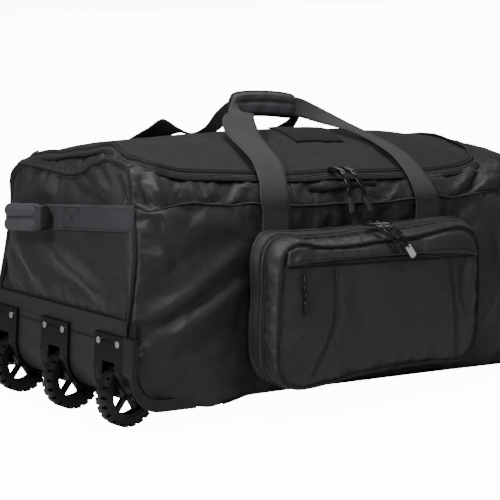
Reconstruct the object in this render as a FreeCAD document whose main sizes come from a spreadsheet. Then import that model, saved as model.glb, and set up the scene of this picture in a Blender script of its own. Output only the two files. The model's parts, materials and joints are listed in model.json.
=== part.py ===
"""Rolling duffel bag on three wheels, as a parametric document.

Bag frame, in millimetres: x runs along the bag from the wheel end (0) to the far end, y across it with
the pocket side at negative y, z up from the underside. The bag stands on its wheels and on its far
bottom edge, so every body is placed by one stance: a small turn about y that lowers the far end.
"""

import FreeCAD, Part
import math
import os
import re
import Sketcher
from FreeCAD import Placement, Rotation, Vector

doc = FreeCAD.newDocument("rolling_duffel")
sheet = doc.addObject("Spreadsheet::Sheet", "dims")

DIMENSIONS = [
    ("bag_length", 800, "outside length of the main compartment"),
    ("bag_depth", 400, "outside depth, front face to back face"),
    ("side_height", 310, "top of the upright sides, where the arch starts"),
    ("crown_height", 380, "top of the arched lid"),
    ("wall", 3, "padded fabric"),
    ("seam_height", 277, "seam between the side panels and the top border"),
    ("corner_radius", 45, "rounded bottom corner over the wheels"),
    ("near_rim", 320, "top of the wheel-end panel"),
    ("near_shoulder", 350, "height where the near lid edge is"),
    ("shoulder_run", 110, "from an end to the full crown height"),
    ("far_rim", 300, "top of the far-end panel"),
    ("far_shoulder", 350, "height where the far lid edge is"),
    ("lid_start", 25, "near lid edge from the wheel end"),
    ("lid_finish", 745, "far lid edge from the wheel end"),
    ("lid_half", 172, "lid edge from the middle plane"),
    ("zip_band", 3, "width of one half of the main zip"),
    ("zip_gap", 0.5, "between the two halves of a zip"),
    ("hinge_room", 4, "fold between the lid and the back border"),
    ("patch_rise", 1.2, "thickness of sewn-on patches"),
    ("wheel_radius", 47.5, "tyre radius"),
    ("tyre_half", 12, "half the tyre width"),
    ("rim_radius", 33, "outside of the rim, inside of the tyre"),
    ("rim_inner", 29, "inside of the rim ring"),
    ("hub_radius", 9, "outside of the hub"),
    ("bush_radius", 5, "outside of the wheel bush"),
    ("axle_radius", 3, "steel axle"),
    ("running_gap", 0.05, "radial clearance of the bush on the axle"),
    ("axle_back", 27, "axle from the wheel-end face"),
    ("axle_up", 5.5, "axle above the underside"),
    ("wheel_pitch", 144, "between neighbouring wheels"),
    ("well_half", 15, "half the width of the wheel slot"),
    ("cheek", 3, "thickness of the wheel-well walls"),
    ("well_depth", 78, "back of the wheel well"),
    ("well_top", 56, "roof of the wheel well"),
    ("guard", 2.5, "thickness of the kick plate"),
    ("guard_top", 120, "top of the kick plate"),
    ("guard_run", 110, "how far the kick plate goes along the underside"),
    ("plate_half", 37, "half the width of a housing plate"),
    ("plate_thick", 4.5, "thickness of a housing plate"),
    ("plate_top", 97, "top of the housing plates"),
    ("plate_run", 81, "how far a housing plate goes along the underside"),
    ("rivet_offset", 24, "rivet from the middle of its plate"),
    ("rivet_up", 85, "rivet above the underside"),
    ("rivet_head", 5, "rivet head radius"),
    ("rivet_shank", 2, "rivet shank radius"),
    ("guard_half", 181, "half the width of the kick plate"),
    ("rail_width", 18, "width of a corner rail's side along the underside"),
    ("rail_narrow", 8, "width of a corner rail's side up the corner"),
    ("rail_thick", 5, "how far a rail stands off the side"),
    ("rail_drop", 12, "bottom of a rail below the underside"),
    ("rail_run", 110, "end of a rail along the underside"),
    ("board", 2, "thickness of the stiffening boards"),
    ("pocket_left", 200, "near side of the front pocket"),
    ("pocket_right", 640, "far side of the front pocket"),
    ("pocket_low", 19, "bottom of the front pocket"),
    ("pocket_high", 249, "top of the front pocket"),
    ("pocket_reach", 68, "front pocket depth"),
    ("pocket_round", 28, "corner radius of the pocket"),
    ("pocket_wall", 2.5, "pocket fabric"),
    ("pocket_fold", 47, "height of the fold that the pocket door turns on"),
    ("pocket_zip", 38, "pocket zip from the front panel"),
    ("webbing", 2, "webbing thickness"),
    ("webbing_width", 50, "carry webbing width"),
    ("anchor_left", 246, "near webbing leg from the wheel end"),
    ("anchor_right", 555, "far webbing leg from the wheel end"),
    ("anchor_height", 272, "top of the sewn webbing legs"),
    ("grip_start", 305, "near end of the carry grip"),
    ("grip_finish", 440, "far end of the carry grip"),
    ("grip_height", 420, "middle of the carry grip"),
    ("grip_radius", 17, "radius of the carry grip"),
    ("loop_low", 238, "lower edge of the grab-handle webbing"),
    ("loop_width", 38, "width of the grab-handle webbing"),
    ("loop_reach", 38, "how far the grab loop stands off its panel"),
    ("loop_pad", 7, "padding on the grab handles"),
    ("loop_turn", 26, "run over which a grab loop leaves its panel"),
    ("end_loop_near", -30, "front end of the loop on the wheel-end panel"),
    ("end_loop_far", 122, "back end of the loop on the wheel-end panel"),
    ("tow_loop_half", 80, "half the length of the loop on the far-end panel"),
    ("patch_start", 378, "near end of the loop-pile patch on the lid"),
    ("patch_finish", 492, "far end of the loop-pile patch on the lid"),
    ("patch_back", 5, "back edge of the patch from the middle plane"),
    ("flap_low", 207, "bottom of the flap over the slip pocket's zip"),
    ("flap_high", 231, "top of the flap over the slip pocket's zip"),
    ("flap_thick", 1.5, "thickness of that flap"),
    ("slip_low", 198, "bottom of the slip pocket's zip"),
    ("slip_high", 206, "top of the slip pocket's zip"),
    ("slip_thick", 0.8, "thickness of the slip pocket's zip"),
    ("tape_width", 2, "width of one half of the pocket zip"),
    ("tread_depth", 5, "depth of the slots between tread blocks"),
    ("tread_slot", 5, "width of the slots between tread blocks"),
    ("tread_rib", 4, "half the width of the unbroken middle of the tread"),
    ("rim_half", 10, "half the width of the rim ring"),
    ("spoke_half", 3.5, "half the width of a spoke"),
    ("spoke_side", 4, "half the thickness of a spoke, along the axle"),
    ("head_rise", 2, "height of a rivet head"),
    ("slider_half", 6, "half the length of a zip slider"),
    ("pull_half", 3, "half the width of a zip pull"),
    ("pull_thick", 3, "thickness of a zip pull"),
    ("lid_slider_left", 372, "left lid slider from the wheel end"),
    ("lid_slider_right", 392, "right lid slider from the wheel end"),
    ("lid_slider_low", 327.6, "underside of the lid sliders"),
    ("lid_slider_high", 333.5, "top of the lid sliders"),
    ("lid_pull_low", 264, "bottom end of the lid pulls"),
    ("pocket_slider_left", 394, "left pocket slider from the wheel end"),
    ("pocket_slider_right", 408, "right pocket slider from the wheel end"),
    ("pocket_pull_drop", 40, "how far the pocket pulls hang below the pocket's top"),
    ("slip_slider_place", 243, "slip-pocket slider from the wheel end"),
    ("slip_pull_low", 124, "bottom end of the slip-pocket pull"),
    ("slip_pull_high", 196.5, "top end of the slip-pocket pull"),
]
for row, (alias, value, meaning) in enumerate(DIMENSIONS, 1):
    sheet.set(f"A{row}", alias)
    sheet.set(f"B{row}", str(value))
    sheet.setAlias(f"B{row}", alias)
    sheet.set(f"C{row}", meaning)
doc.recompute()
ALIASES = {alias for alias, _, _ in DIMENSIONS}


def bind(text):
    """The expression with each dimension's name pointing at its cell."""
    return re.sub(r"[a-z_]+", lambda m: f"dims.{m[0]}" if m[0] in ALIASES else m[0], str(text))


def size(text):
    return float(sheet.evalExpression(bind(text)))


# How the bag stands: the wheels hold the near end up and the far bottom edge is on the floor.
run = size("bag_length - axle_back")
rise = size("axle_up")
tilt = math.asin(size("wheel_radius") / math.hypot(run, rise)) - math.atan2(rise, run)
reach = size("loop_reach + loop_pad + webbing / 2")
low_loop = size("loop_low - loop_pad / 2")
high_loop = size("loop_low + loop_width + loop_pad / 2")
near_x = -reach * math.cos(tilt) + low_loop * math.sin(tilt)
far_x = (size("bag_length") + reach) * math.cos(tilt) + high_loop * math.sin(tilt)
PULL_FACE = "bag_depth / 2 + webbing + pocket_reach + pull_thick + 2"
front_y = -size(PULL_FACE)
back_y = size("bag_depth / 2 + rail_thick")
STANCE = Placement(
    Vector(-(near_x + far_x) / 2, -(front_y + back_y) / 2, size("bag_length") * math.sin(tilt)),
    Rotation(Vector(0, 1, 0), math.degrees(tilt)),
)

FINISHED = []


def finished(name, item):
    """Names a sub-part. Its label is its node and its file."""
    item.Label = name
    FINISHED.append(item)
    return item


def new_sketch(body, plane, low, high):
    """A sketch on one of the body's planes, where a pad of its own length fills low to high."""
    origin = next(f for f in body.Origin.OriginFeatures if f.Role == f"{plane}_Plane")
    sketch = body.newObject("Sketcher::SketchObject", body.Name + "_sketch")
    sketch.AttachmentSupport = [(origin, "")]
    sketch.MapMode = "FlatFace"
    offset = f"-({high})" if plane == "XZ" else low
    sketch.setExpression("AttachmentOffset.Base.z", bind(offset))
    return sketch


def hold(sketch, geometry, vertex, x, y):
    """Holds a sketch point at x, y from the origin."""
    for kind, text in (("DistanceX", x), ("DistanceY", y)):
        made = sketch.addConstraint(Sketcher.Constraint(kind, -1, 1, geometry, vertex, size(text)))
        sketch.setExpression(f"Constraints[{made}]", bind(text))


def draw_outline(sketch, points, arcs=None):
    """A closed outline through the points. arcs gives a side's radius, above 0 where it turns left."""
    arcs = arcs or {}
    first = sketch.GeometryCount
    places = [Vector(size(x), size(y), 0) for x, y in points]
    ends = []
    for side, start in enumerate(places):
        end = places[(side + 1) % len(places)]
        if side not in arcs:
            sketch.addGeometry(Part.LineSegment(start, end), False)
            ends.append((1, 2))
            continue
        radius = size(arcs[side])
        chord = end - start
        bow = abs(radius) - math.sqrt(radius**2 - chord.Length**2 / 4)
        outward = Vector(chord.y, -chord.x, 0).normalize() * math.copysign(bow, radius)
        between = (start + end) / 2 + outward
        left = radius > 0
        sketch.addGeometry(Part.Arc(start, between, end) if left else Part.Arc(end, between, start), False)
        ends.append((1, 2) if left else (2, 1))
        turn = sketch.addConstraint(Sketcher.Constraint("Radius", first + side, abs(radius)))
        sketch.setExpression(f"Constraints[{turn}]", bind(f"abs({arcs[side]})"))
    for side in range(len(places)):
        after = (side + 1) % len(places)
        joint = (first + side, ends[side][1], first + after, ends[after][0])
        sketch.addConstraint(Sketcher.Constraint("Coincident", *joint))
    for side, (x, y) in enumerate(points):
        hold(sketch, first + side, ends[side][0], x, y)


def draw_circle(sketch, x, y, radius):
    circle = Part.Circle(Vector(size(x), size(y), 0), Vector(0, 0, 1), size(radius))
    made = sketch.addGeometry(circle, False)
    hold(sketch, made, 3, x, y)
    turn = sketch.addConstraint(Sketcher.Constraint("Radius", made, size(radius)))
    sketch.setExpression(f"Constraints[{turn}]", bind(radius))


def new_body(name):
    body = doc.addObject("PartDesign::Body", name)
    body.Placement = STANCE
    return body


def pad(body, sketch, low, high):
    made = body.newObject("PartDesign::Pad", body.Name + "_pad")
    made.Profile = sketch
    made.setExpression("Length", bind(f"({high}) - ({low})"))
    return made


def slab(name, plane, points, low, high, arcs=None, holes=()):
    """A body: an outline on a plane, padded between two places along the plane's own axis."""
    body = new_body(name)
    sketch = new_sketch(body, plane, low, high)
    draw_outline(sketch, points, arcs)
    for hole_points, hole_arcs in holes:
        draw_outline(sketch, hole_points, hole_arcs)
    pad(body, sketch, low, high)
    return body


def block(name, x, y, z):
    """A rectangular body between pairs of coordinates."""
    corners = [(x[0], y[0]), (x[1], y[0]), (x[1], y[1]), (x[0], y[1])]
    return slab(name, "XY", corners, *z)


def rod(name, x, z, steps):
    """Round steps along y, one after the other, each (radius, low, high, bore or None)."""
    body = new_body(name)
    for radius, low, high, bore in steps:
        sketch = new_sketch(body, "XZ", low, high)
        draw_circle(sketch, x, z, radius)
        if bore:
            draw_circle(sketch, x, z, bore)
        pad(body, sketch, low, high)
    return body


def rounded(left, right, low, high, radius):
    """Points and arcs of a rectangle with rounded corners."""
    points = [
        (f"{left} + {radius}", low), (f"{right} - ({radius})", low),
        (right, f"{low} + {radius}"), (right, f"{high} - ({radius})"),
        (f"{right} - ({radius})", high), (f"{left} + {radius}", high),
        (left, f"{high} - ({radius})"), (left, f"{low} + {radius}"),
    ]
    return points, {1: radius, 3: radius, 5: radius, 7: radius}


def joined(kind, name, base, tools):
    """A boolean of one base with each tool in turn."""
    for number, tool in enumerate(tools):
        made = doc.addObject(f"Part::{kind}", f"{name}_{kind.lower()}_{number}")
        made.Base = base
        made.Tool = tool
        base = made
    return base


def cut(name, base, *tools):
    return joined("Cut", name, base, tools)


def common(name, base, *tools):
    return joined("Common", name, base, tools)


def fused(name, base, *tools):
    return joined("Fuse", name, base, tools)


def group(name, items):
    made = doc.addObject("Part::Compound", name)
    made.Links = items
    return finished(name, made)


# ---- the bag's outer and inner form ----
HALF = "bag_depth / 2"
RISE = "(crown_height - side_height)"
ARCH = f"((bag_depth / 2)^2 + {RISE}^2) / (2 * {RISE})"
ARCH_CENTRE = f"(crown_height - {ARCH})"


def arch_height(across, outset="0"):
    """Height of the arch at a place across the bag, outset from the outer skin."""
    return f"{ARCH_CENTRE} + sqrt(({ARCH} + {outset})^2 - ({across})^2)"


def envelope(name, inset):
    """The bag's form, inset by a thickness: the arched section met with the side profile."""
    half = f"{HALF} - {inset}"
    side = arch_height(half, f"(-{inset})")
    section = slab(
        name + "_section", "YZ",
        [(f"-({half})", inset), (half, inset), (half, side), (f"-({half})", side)],
        inset, f"bag_length - {inset}", {2: f"{ARCH} - {inset}"},
    )
    end = f"bag_length - {inset}"
    profile = slab(
        name + "_profile", "XZ",
        [
            ("corner_radius", inset), (end, inset), (end, f"far_rim - {inset}"),
            ("lid_finish", f"far_shoulder - {inset}"),
            ("bag_length - shoulder_run", f"crown_height - {inset}"),
            ("shoulder_run", f"crown_height - {inset}"),
            ("lid_start", f"near_shoulder - {inset}"), (inset, f"near_rim - {inset}"),
            (inset, "corner_radius"),
        ],
        f"-{HALF} - 1", f"{HALF} + 1", {8: f"corner_radius - {inset}"},
    )
    return common(name, section, profile)


shell = cut("shell", envelope("outer", "0"), envelope("inner", "wall"))


def wheel_places():
    return (("front", "(-wheel_pitch)"), ("middle", "0"), ("rear", "wheel_pitch"))


# ---- wheel wells, axles and rivets, which the panels are cut for ----
def corner_curve(outset):
    """Half outline down the wheel end, round the corner and along the underside."""
    turn = f"corner_radius + {outset}"
    return [(f"-({outset})", "corner_radius"), ("corner_radius", f"-({outset})")], turn


def well_block(name, middle):
    curve, turn = corner_curve("guard")
    back = "well_depth + cheek"
    points = [("-guard", "well_top + cheek"), *curve, (back, "-guard"), (back, "well_top + cheek")]
    half = "well_half + cheek"
    return slab(name, "XZ", points, f"{middle} - ({half})", f"{middle} + {half}", {1: turn})


def well_space(name, middle):
    return block(
        name, ("-bag_depth / 10", "well_depth"),
        (f"{middle} - well_half", f"{middle} + well_half"), ("-bag_depth / 10", "well_top"),
    )


def axle(name, middle):
    half = "well_half + cheek"
    steps = [("axle_radius", f"{middle} - ({half})", f"{middle} + {half}", None)]
    return rod(name, "axle_back", "axle_up", steps)


def rivet(name, across):
    """A domed head on the plate and a shank through to the stiffening board."""
    body = new_body(name)
    outside = "guard + plate_thick"
    for radius, low, high in (
        ("rivet_head", f"-({outside} + head_rise)", f"-({outside})"),
        ("rivet_shank", f"-({outside})", "wall + board"),
    ):
        sketch = new_sketch(body, "YZ", low, high)
        draw_circle(sketch, across, "rivet_up", radius)
        pad(body, sketch, low, high)
    return body


WELLS = [well_block(f"well_{side}", middle) for side, middle in wheel_places()]
AXLES = [axle(f"axle_{side}", middle) for side, middle in wheel_places()]
RIVETS = [
    rivet(f"rivet_{side}_{number}", f"{middle} {sign} rivet_offset")
    for side, middle in wheel_places()
    for number, sign in enumerate("-+")
]
group("wheel_axles", AXLES)
group("housing_rivets", RIVETS)

# ---- main compartment panels, all cut from the shell ----
INNER_HALF = f"({HALF} - wall)"
FAR_OUT = "bag_length + wall"


def region(name, x, y, z):
    return block(name + "_region", x, y, z)


def side_panel(name, low, high):
    place = region(name, ("-wall", FAR_OUT), (low, high), ("-wall", "seam_height"))
    return finished(name, common(name, shell, place))


side_panel("front_panel", f"-{HALF} - wall", f"-{INNER_HALF}")
side_panel("back_panel", INNER_HALF, f"{HALF} + wall")
BETWEEN = (f"-{INNER_HALF}", INNER_HALF)

base_place = region("base", ("guard_run", FAR_OUT), BETWEEN, ("-wall", "wall"))
finished("base_panel", common("base_panel", shell, base_place))

end_skin = slab(
    "end_region", "XZ",
    [
        ("-wall", "-wall"), ("guard_run", "-wall"), ("guard_run", "wall"), ("corner_radius", "wall"),
        ("wall", "corner_radius"), ("wall", "near_rim - wall"), ("-wall", "near_rim - wall"),
    ],
    *BETWEEN, {3: "-(corner_radius - wall)"},
)
wheel_end = cut("wheel_end", common("wheel_end", shell, end_skin), *WELLS, *RIVETS)
finished("wheel_end_panel", wheel_end)

far_place = region("far", ("bag_length - wall", FAR_OUT), BETWEEN, ("wall", "far_rim - wall"))
finished("far_end_panel", common("far_end_panel", shell, far_place))


def lid_opening(name, outset, back):
    """The lid's outline from above, outset on its three zipped sides."""
    return block(
        name, (f"lid_start - ({outset})", f"lid_finish + {outset}"),
        (f"-(lid_half + {outset})", back), ("side_height - wall", "crown_height + wall"),
    )


lid_shape = lid_opening("lid_shape", "0", "lid_half")
lid_inside = lid_opening("lid_inside", "(-zip_band)", "lid_half")
zip_outside = lid_opening("zip_outside", "zip_gap + zip_band", "lid_half + hinge_room")
zip_inside = lid_opening("zip_inside", "zip_gap", "lid_half + hinge_room")
top_place = region("top", ("-wall", FAR_OUT), (f"-{HALF} - wall", f"{HALF} + wall"),
                   ("seam_height", "crown_height + wall"))
top = common("top", shell, top_place)
finished("top_border", cut("border", top, end_skin, far_place, zip_outside))
finished("main_zip_body_tape", cut("body_tape", common("body_tape", top, zip_outside), zip_inside))
finished("main_zip_lid_tape", cut("lid_tape", common("lid_tape", top, lid_shape), lid_inside))
finished("lid_panel", common("lid_panel", top, lid_inside))

patch_points = [
    ("-lid_half / 2", arch_height("lid_half / 2")), ("-patch_back", arch_height("patch_back")),
    ("-patch_back", arch_height("patch_back", "patch_rise")),
    ("-lid_half / 2", arch_height("lid_half / 2", "patch_rise")),
]
patch_arcs = {0: f"-({ARCH})", 2: f"{ARCH} + patch_rise"}
patch = slab("lid_patch", "YZ", patch_points, "patch_start", "patch_finish", patch_arcs)
finished("lid_patch", patch)

# ---- stiffening boards ----
board_side = f"{HALF} - 2 * wall"
base_board = block(
    "base_board_blank", ("corner_radius + wall", "bag_length - 2 * wall"),
    (f"-({board_side})", board_side), ("wall", "wall + board"),
)
finished("base_board", cut("base_board", base_board, *WELLS))
end_board = block(
    "end_board_blank", ("wall", "wall + board"), (f"-({board_side})", board_side),
    ("corner_radius + wall", "guard_top"),
)
finished("wheel_end_board", cut("wheel_end_board", end_board, *WELLS, *RIVETS))

# ---- kick plate, wheel housings and corner rails ----
outer_curve, outer_turn = corner_curve("guard")
inner_curve, inner_turn = corner_curve("0")
kick_points = [
    ("-guard", "guard_top"), *outer_curve, ("guard_run", "-guard"), ("guard_run", "0"),
    *reversed(inner_curve), ("0", "guard_top"),
]
kick_arcs = {1: outer_turn, 5: f"-({inner_turn})"}
kick = slab("kick", "XZ", kick_points, "-guard_half", "guard_half", kick_arcs)
finished("kick_plate", cut("kick_plate", kick, *WELLS, *RIVETS))


def housing(side, middle, well):
    """A riveted plate round the corner with the wheel's well behind it, in one moulding."""
    outside, outside_turn = corner_curve("guard + plate_thick")
    inside, inside_turn = corner_curve("guard")
    face = "-(guard + plate_thick)"
    points = [
        (face, "plate_top"), *outside, ("plate_run", face), ("plate_run", "-guard"),
        *reversed(inside), ("-guard", "plate_top"),
    ]
    name = f"wheel_housing_{side}"
    plate = slab(
        name + "_plate", "XZ", points, f"{middle} - plate_half", f"{middle} + plate_half",
        {1: outside_turn, 5: f"-({inside_turn})"},
    )
    body = fused(name, plate, well)
    finished(name, cut(name, body, well_space(name + "_space", middle), *AXLES, *RIVETS))


for (side, middle), well in zip(wheel_places(), WELLS):
    housing(side, middle, well)


def corner_rail(name, side, end):
    """An edge guard down the corner, round it and along the underside: a side and an end face."""
    face = "-(guard + plate_thick)"
    turn = "corner_radius + guard + plate_thick"
    bend = f"corner_radius - ({face} + rail_narrow)"
    upper = "rail_width - rail_drop"
    side_points = [
        (face, "plate_top"), (face, f"{turn} - rail_drop"), ("corner_radius", "-rail_drop"),
        ("rail_run", "-rail_drop"), ("rail_run", upper), ("corner_radius", upper),
        (f"{face} + rail_narrow", f"{upper} + {bend}"), (f"{face} + rail_narrow", "plate_top"),
    ]
    side_arcs = {1: turn, 5: f"-({bend})"}
    side_strip = slab(name + "_side", "XZ", side_points, *side, side_arcs)
    outside, outside_turn = corner_curve("guard + plate_thick")
    inside, inside_turn = corner_curve("0")
    end_points = [
        (face, "plate_top"), *outside, ("rail_run", face), ("rail_run", "0"), *reversed(inside),
        ("0", "plate_top"),
    ]
    end_arcs = {1: outside_turn, 5: f"-({inside_turn})"}
    end_strip = slab(name + "_end", "XZ", end_points, *end, end_arcs)
    finished(name, fused(name, side_strip, end_strip))


corner_rail("corner_rail_front", (f"-{HALF} - rail_thick", f"-{HALF}"), (f"-{HALF}", "-guard_half"))
corner_rail("corner_rail_rear", (HALF, f"{HALF} + rail_thick"), ("guard_half", HALF))


# ---- wheels ----
def revolved(body, middle, points):
    """A ring about the wheel's axle from a section of (across, radius) points."""
    sketch = new_sketch(body, "YZ", "axle_back", "axle_back")
    sketch.setExpression("AttachmentOffset.Base.x", bind(middle))
    sketch.setExpression("AttachmentOffset.Base.y", bind("axle_up"))
    draw_outline(sketch, points)
    ring = body.newObject("PartDesign::Revolution", body.Name + "_ring")
    ring.Profile = sketch
    ring.ReferenceAxis = (sketch, ["H_Axis"])
    ring.Angle = 360
    return sketch


def around(body, feature, sketch, count):
    pattern = body.newObject("PartDesign::PolarPattern", feature.Name + "_pattern")
    pattern.Originals = [feature]
    pattern.Axis = (sketch, ["H_Axis"])
    pattern.Angle = 360
    pattern.Occurrences = count
    body.Tip = pattern
    return pattern


def wheel_sketch(body, middle, low, high):
    sketch = new_sketch(body, "XZ", low, high)
    sketch.setExpression("AttachmentOffset.Base.x", bind("axle_back"))
    sketch.setExpression("AttachmentOffset.Base.y", bind("axle_up"))
    return sketch


TREAD_BLOCKS = 20
SPOKES = 5


def tyre(side, middle):
    """A solid tyre with square tread blocks along both shoulders."""
    name = f"tyre_{side}"
    body = new_body(name)
    shoulder = "wheel_radius - tread_depth"
    section = revolved(body, middle, [
        ("-tyre_half", "rim_radius"), ("tyre_half", "rim_radius"), ("tyre_half", shoulder),
        ("tyre_half - 2", "wheel_radius"), ("-(tyre_half - 2)", "wheel_radius"), ("-tyre_half", shoulder),
    ])
    doc.recompute()
    for low, high in (
        (f"{middle} - tyre_half - 1", f"{middle} - tread_rib"),
        (f"{middle} + tread_rib", f"{middle} + tyre_half + 1"),
    ):
        notch = wheel_sketch(body, middle, low, high)
        beyond = "wheel_radius + 2"
        draw_outline(notch, [
            ("-tread_slot / 2", shoulder), ("tread_slot / 2", shoulder),
            ("tread_slot / 2", beyond), ("-tread_slot / 2", beyond),
        ])
        pocket = body.newObject("PartDesign::Pocket", name + "_notch")
        pocket.Profile = notch
        pocket.Reversed = True
        pocket.setExpression("Length", bind(f"({high}) - ({low})"))
        around(body, pocket, section, TREAD_BLOCKS)
    finished(name, body)


def rim(side, middle):
    """A spoked wheel centre: ring, hub and five spokes."""
    name = f"rim_{side}"
    ring = rod(name + "_ring", "axle_back", "axle_up",
               [("rim_radius", f"{middle} - rim_half", f"{middle} + rim_half", "rim_inner")])
    hub = rod(name + "_hub", "axle_back", "axle_up",
              [("hub_radius", f"{middle} - tyre_half + 1", f"{middle} + tyre_half - 1", "bush_radius")])
    spokes = new_body(name + "_spokes")
    low, high = f"{middle} - spoke_side", f"{middle} + spoke_side"
    sketch = wheel_sketch(spokes, middle, low, high)
    draw_outline(sketch, [
        ("-spoke_half", "hub_radius - 1"), ("spoke_half", "hub_radius - 1"),
        ("spoke_half", "rim_inner + 1"), ("-spoke_half", "rim_inner + 1"),
    ])
    first = pad(spokes, sketch, low, high)
    pattern = spokes.newObject("PartDesign::PolarPattern", name + "_pattern")
    pattern.Originals = [first]
    pattern.Axis = (sketch, ["N_Axis"])
    pattern.Angle = 360
    pattern.Occurrences = SPOKES
    spokes.AllowCompound = True
    spokes.Tip = pattern
    finished(name, fused(name, ring, hub, spokes))


for side, middle in wheel_places():
    tyre(side, middle)
    rim(side, middle)
    half = "(tyre_half - zip_gap)"
    bore = "axle_radius + running_gap"
    steps = [("bush_radius", f"{middle} - {half}", f"{middle} + {half}", bore)]
    finished(f"bush_{side}", rod(f"bush_{side}", "axle_back", "axle_up", steps))

# ---- sewn webbing legs, front and back ----
for side, face, out, foot in (
    ("front", f"-{HALF} - webbing", f"-{HALF}", "pocket_high"), ("rear", HALF, f"{HALF} + webbing", "wall"),
):
    for place in ("left", "right"):
        x = (f"anchor_{place} - webbing_width / 2", f"anchor_{place} + webbing_width / 2")
        leg = block(f"{side}_webbing_{place}", x, (face, out), (foot, "anchor_height"))
        finished(f"{side}_webbing_{place}", leg)

# ---- front pocket ----
POCKET = ("pocket_left", "pocket_right", "pocket_low", "pocket_high", "pocket_round")
POCKET_BACK = f"-({HALF} + webbing)"
POCKET_FRONT = f"-({HALF} + webbing + pocket_reach)"
pocket_points, pocket_arcs = rounded(*POCKET)
finished("pocket_backing", slab(
    "pocket_backing", "XZ", pocket_points, POCKET_BACK, f"-{HALF}", pocket_arcs))
pocket_outer = slab("pocket_outer", "XZ", pocket_points, POCKET_FRONT, POCKET_BACK, pocket_arcs)
inner_points, inner_arcs = rounded(
    "pocket_left + pocket_wall", "(pocket_right - pocket_wall)", "pocket_low + pocket_wall",
    "(pocket_high - pocket_wall)", "(pocket_round - pocket_wall)",
)
pocket_inner = slab("pocket_inner", "XZ", inner_points, f"{POCKET_FRONT} + pocket_wall",
                    f"{POCKET_BACK} + 1", inner_arcs)
pocket_skin = cut("pocket_skin", pocket_outer, pocket_inner)
WIDE = ("pocket_left - 5", "pocket_right + 5")


def pocket_slice(name, near, far, low, high):
    """The pocket's skin between two distances from its back and two heights."""
    across = (f"{POCKET_BACK} - ({far})", f"{POCKET_BACK} - ({near})")
    place = block(name + "_place", WIDE, across, (low, high))
    return finished(name, common(name, pocket_skin, place))


UNDER = "pocket_low - 5"
OVER = "pocket_high + 5"
FOLD = "pocket_fold + zip_gap"
DOOR_ZIP = "pocket_zip + zip_gap"
pocket_slice("pocket_gusset", "0", "pocket_zip - tape_width", UNDER, OVER)
pocket_slice("pocket_zip_body_tape", "pocket_zip - tape_width", "pocket_zip", FOLD, OVER)
pocket_slice("pocket_tray", "pocket_zip - tape_width", "pocket_reach", UNDER, "pocket_fold")
pocket_slice("pocket_zip_door_tape", DOOR_ZIP, f"{DOOR_ZIP} + tape_width", FOLD, OVER)
pocket_slice("pocket_door_panel", f"{DOOR_ZIP} + tape_width", "pocket_reach", FOLD, OVER)
finished("slip_flap", block(
    "slip_flap", ("pocket_left + 18", "pocket_right - 22"),
    (f"{POCKET_FRONT} - flap_thick", POCKET_FRONT), ("flap_low", "flap_high")))
finished("slip_zip_tape", block(
    "slip_zip_tape", ("pocket_left + 24", "pocket_right - 30"),
    (f"{POCKET_FRONT} - slip_thick", POCKET_FRONT), ("slip_low", "slip_high")))


# ---- grab handles on both ends ----
def grab_handle(name, face, out, near, far):
    """A sewn strip that stands off its panel in a padded loop. out is -1 or 1, away from the bag."""
    stand = f"({out}) * loop_reach"
    thick = f"({out}) * webbing"
    path = [
        (f"-{INNER_HALF}", "0"), (near, "0"), (f"{near} + loop_turn", stand),
        (f"{far} - loop_turn", stand), (far, "0"), (INNER_HALF, "0"),
    ]
    outer = [(f"{face} + {off} + {thick}", y) for y, off in path]
    inner = [(f"{face} + {off}", y) for y, off in reversed(path)]
    strip = slab(name + "_webbing", "XY", outer + inner, "loop_low", "loop_low + loop_width")
    finished(name + "_webbing", strip)
    middle = f"{face} + {stand} + {thick} / 2"
    padding = block(
        name + "_padding", (f"{middle} - loop_pad", f"{middle} + loop_pad"),
        (f"{near} + loop_turn + 4", f"{far} - loop_turn - 4"),
        ("loop_low - loop_pad / 2", "loop_low + loop_width + loop_pad / 2"),
    )
    finished(name + "_grip", cut(name + "_grip", padding, strip))


grab_handle("end_handle", "0", "-1", "end_loop_near", "end_loop_far")
grab_handle("tow_handle", "bag_length", "1", "(-tow_loop_half)", "tow_loop_half")


# ---- carry handles ----
def strap_solid(stations):
    """A webbing strip through stations of (middle, width direction, normal, width, thickness)."""
    rings = []
    for middle, along, normal, width, thick in stations:
        rings.append([middle + along * (a * width / 2) + normal * (b * thick / 2)
                      for a, b in ((-1, -1), (1, -1), (1, 1), (-1, 1))])
    corners = []
    for ring, after in zip(rings, rings[1:]):
        for edge in range(4):
            near, far = ring[edge], ring[(edge + 1) % 4]
            over, beyond = after[edge], after[(edge + 1) % 4]
            corners += [(near, far, beyond), (near, beyond, over)]
    corners += [rings[0], rings[-1][::-1]]
    faces = [Part.Face(Part.makePolygon([*points, points[0]])) for points in corners]
    made = Part.makeSolid(Part.makeShell(faces))
    return made if made.Volume > 0 else made.reversed()


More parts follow.
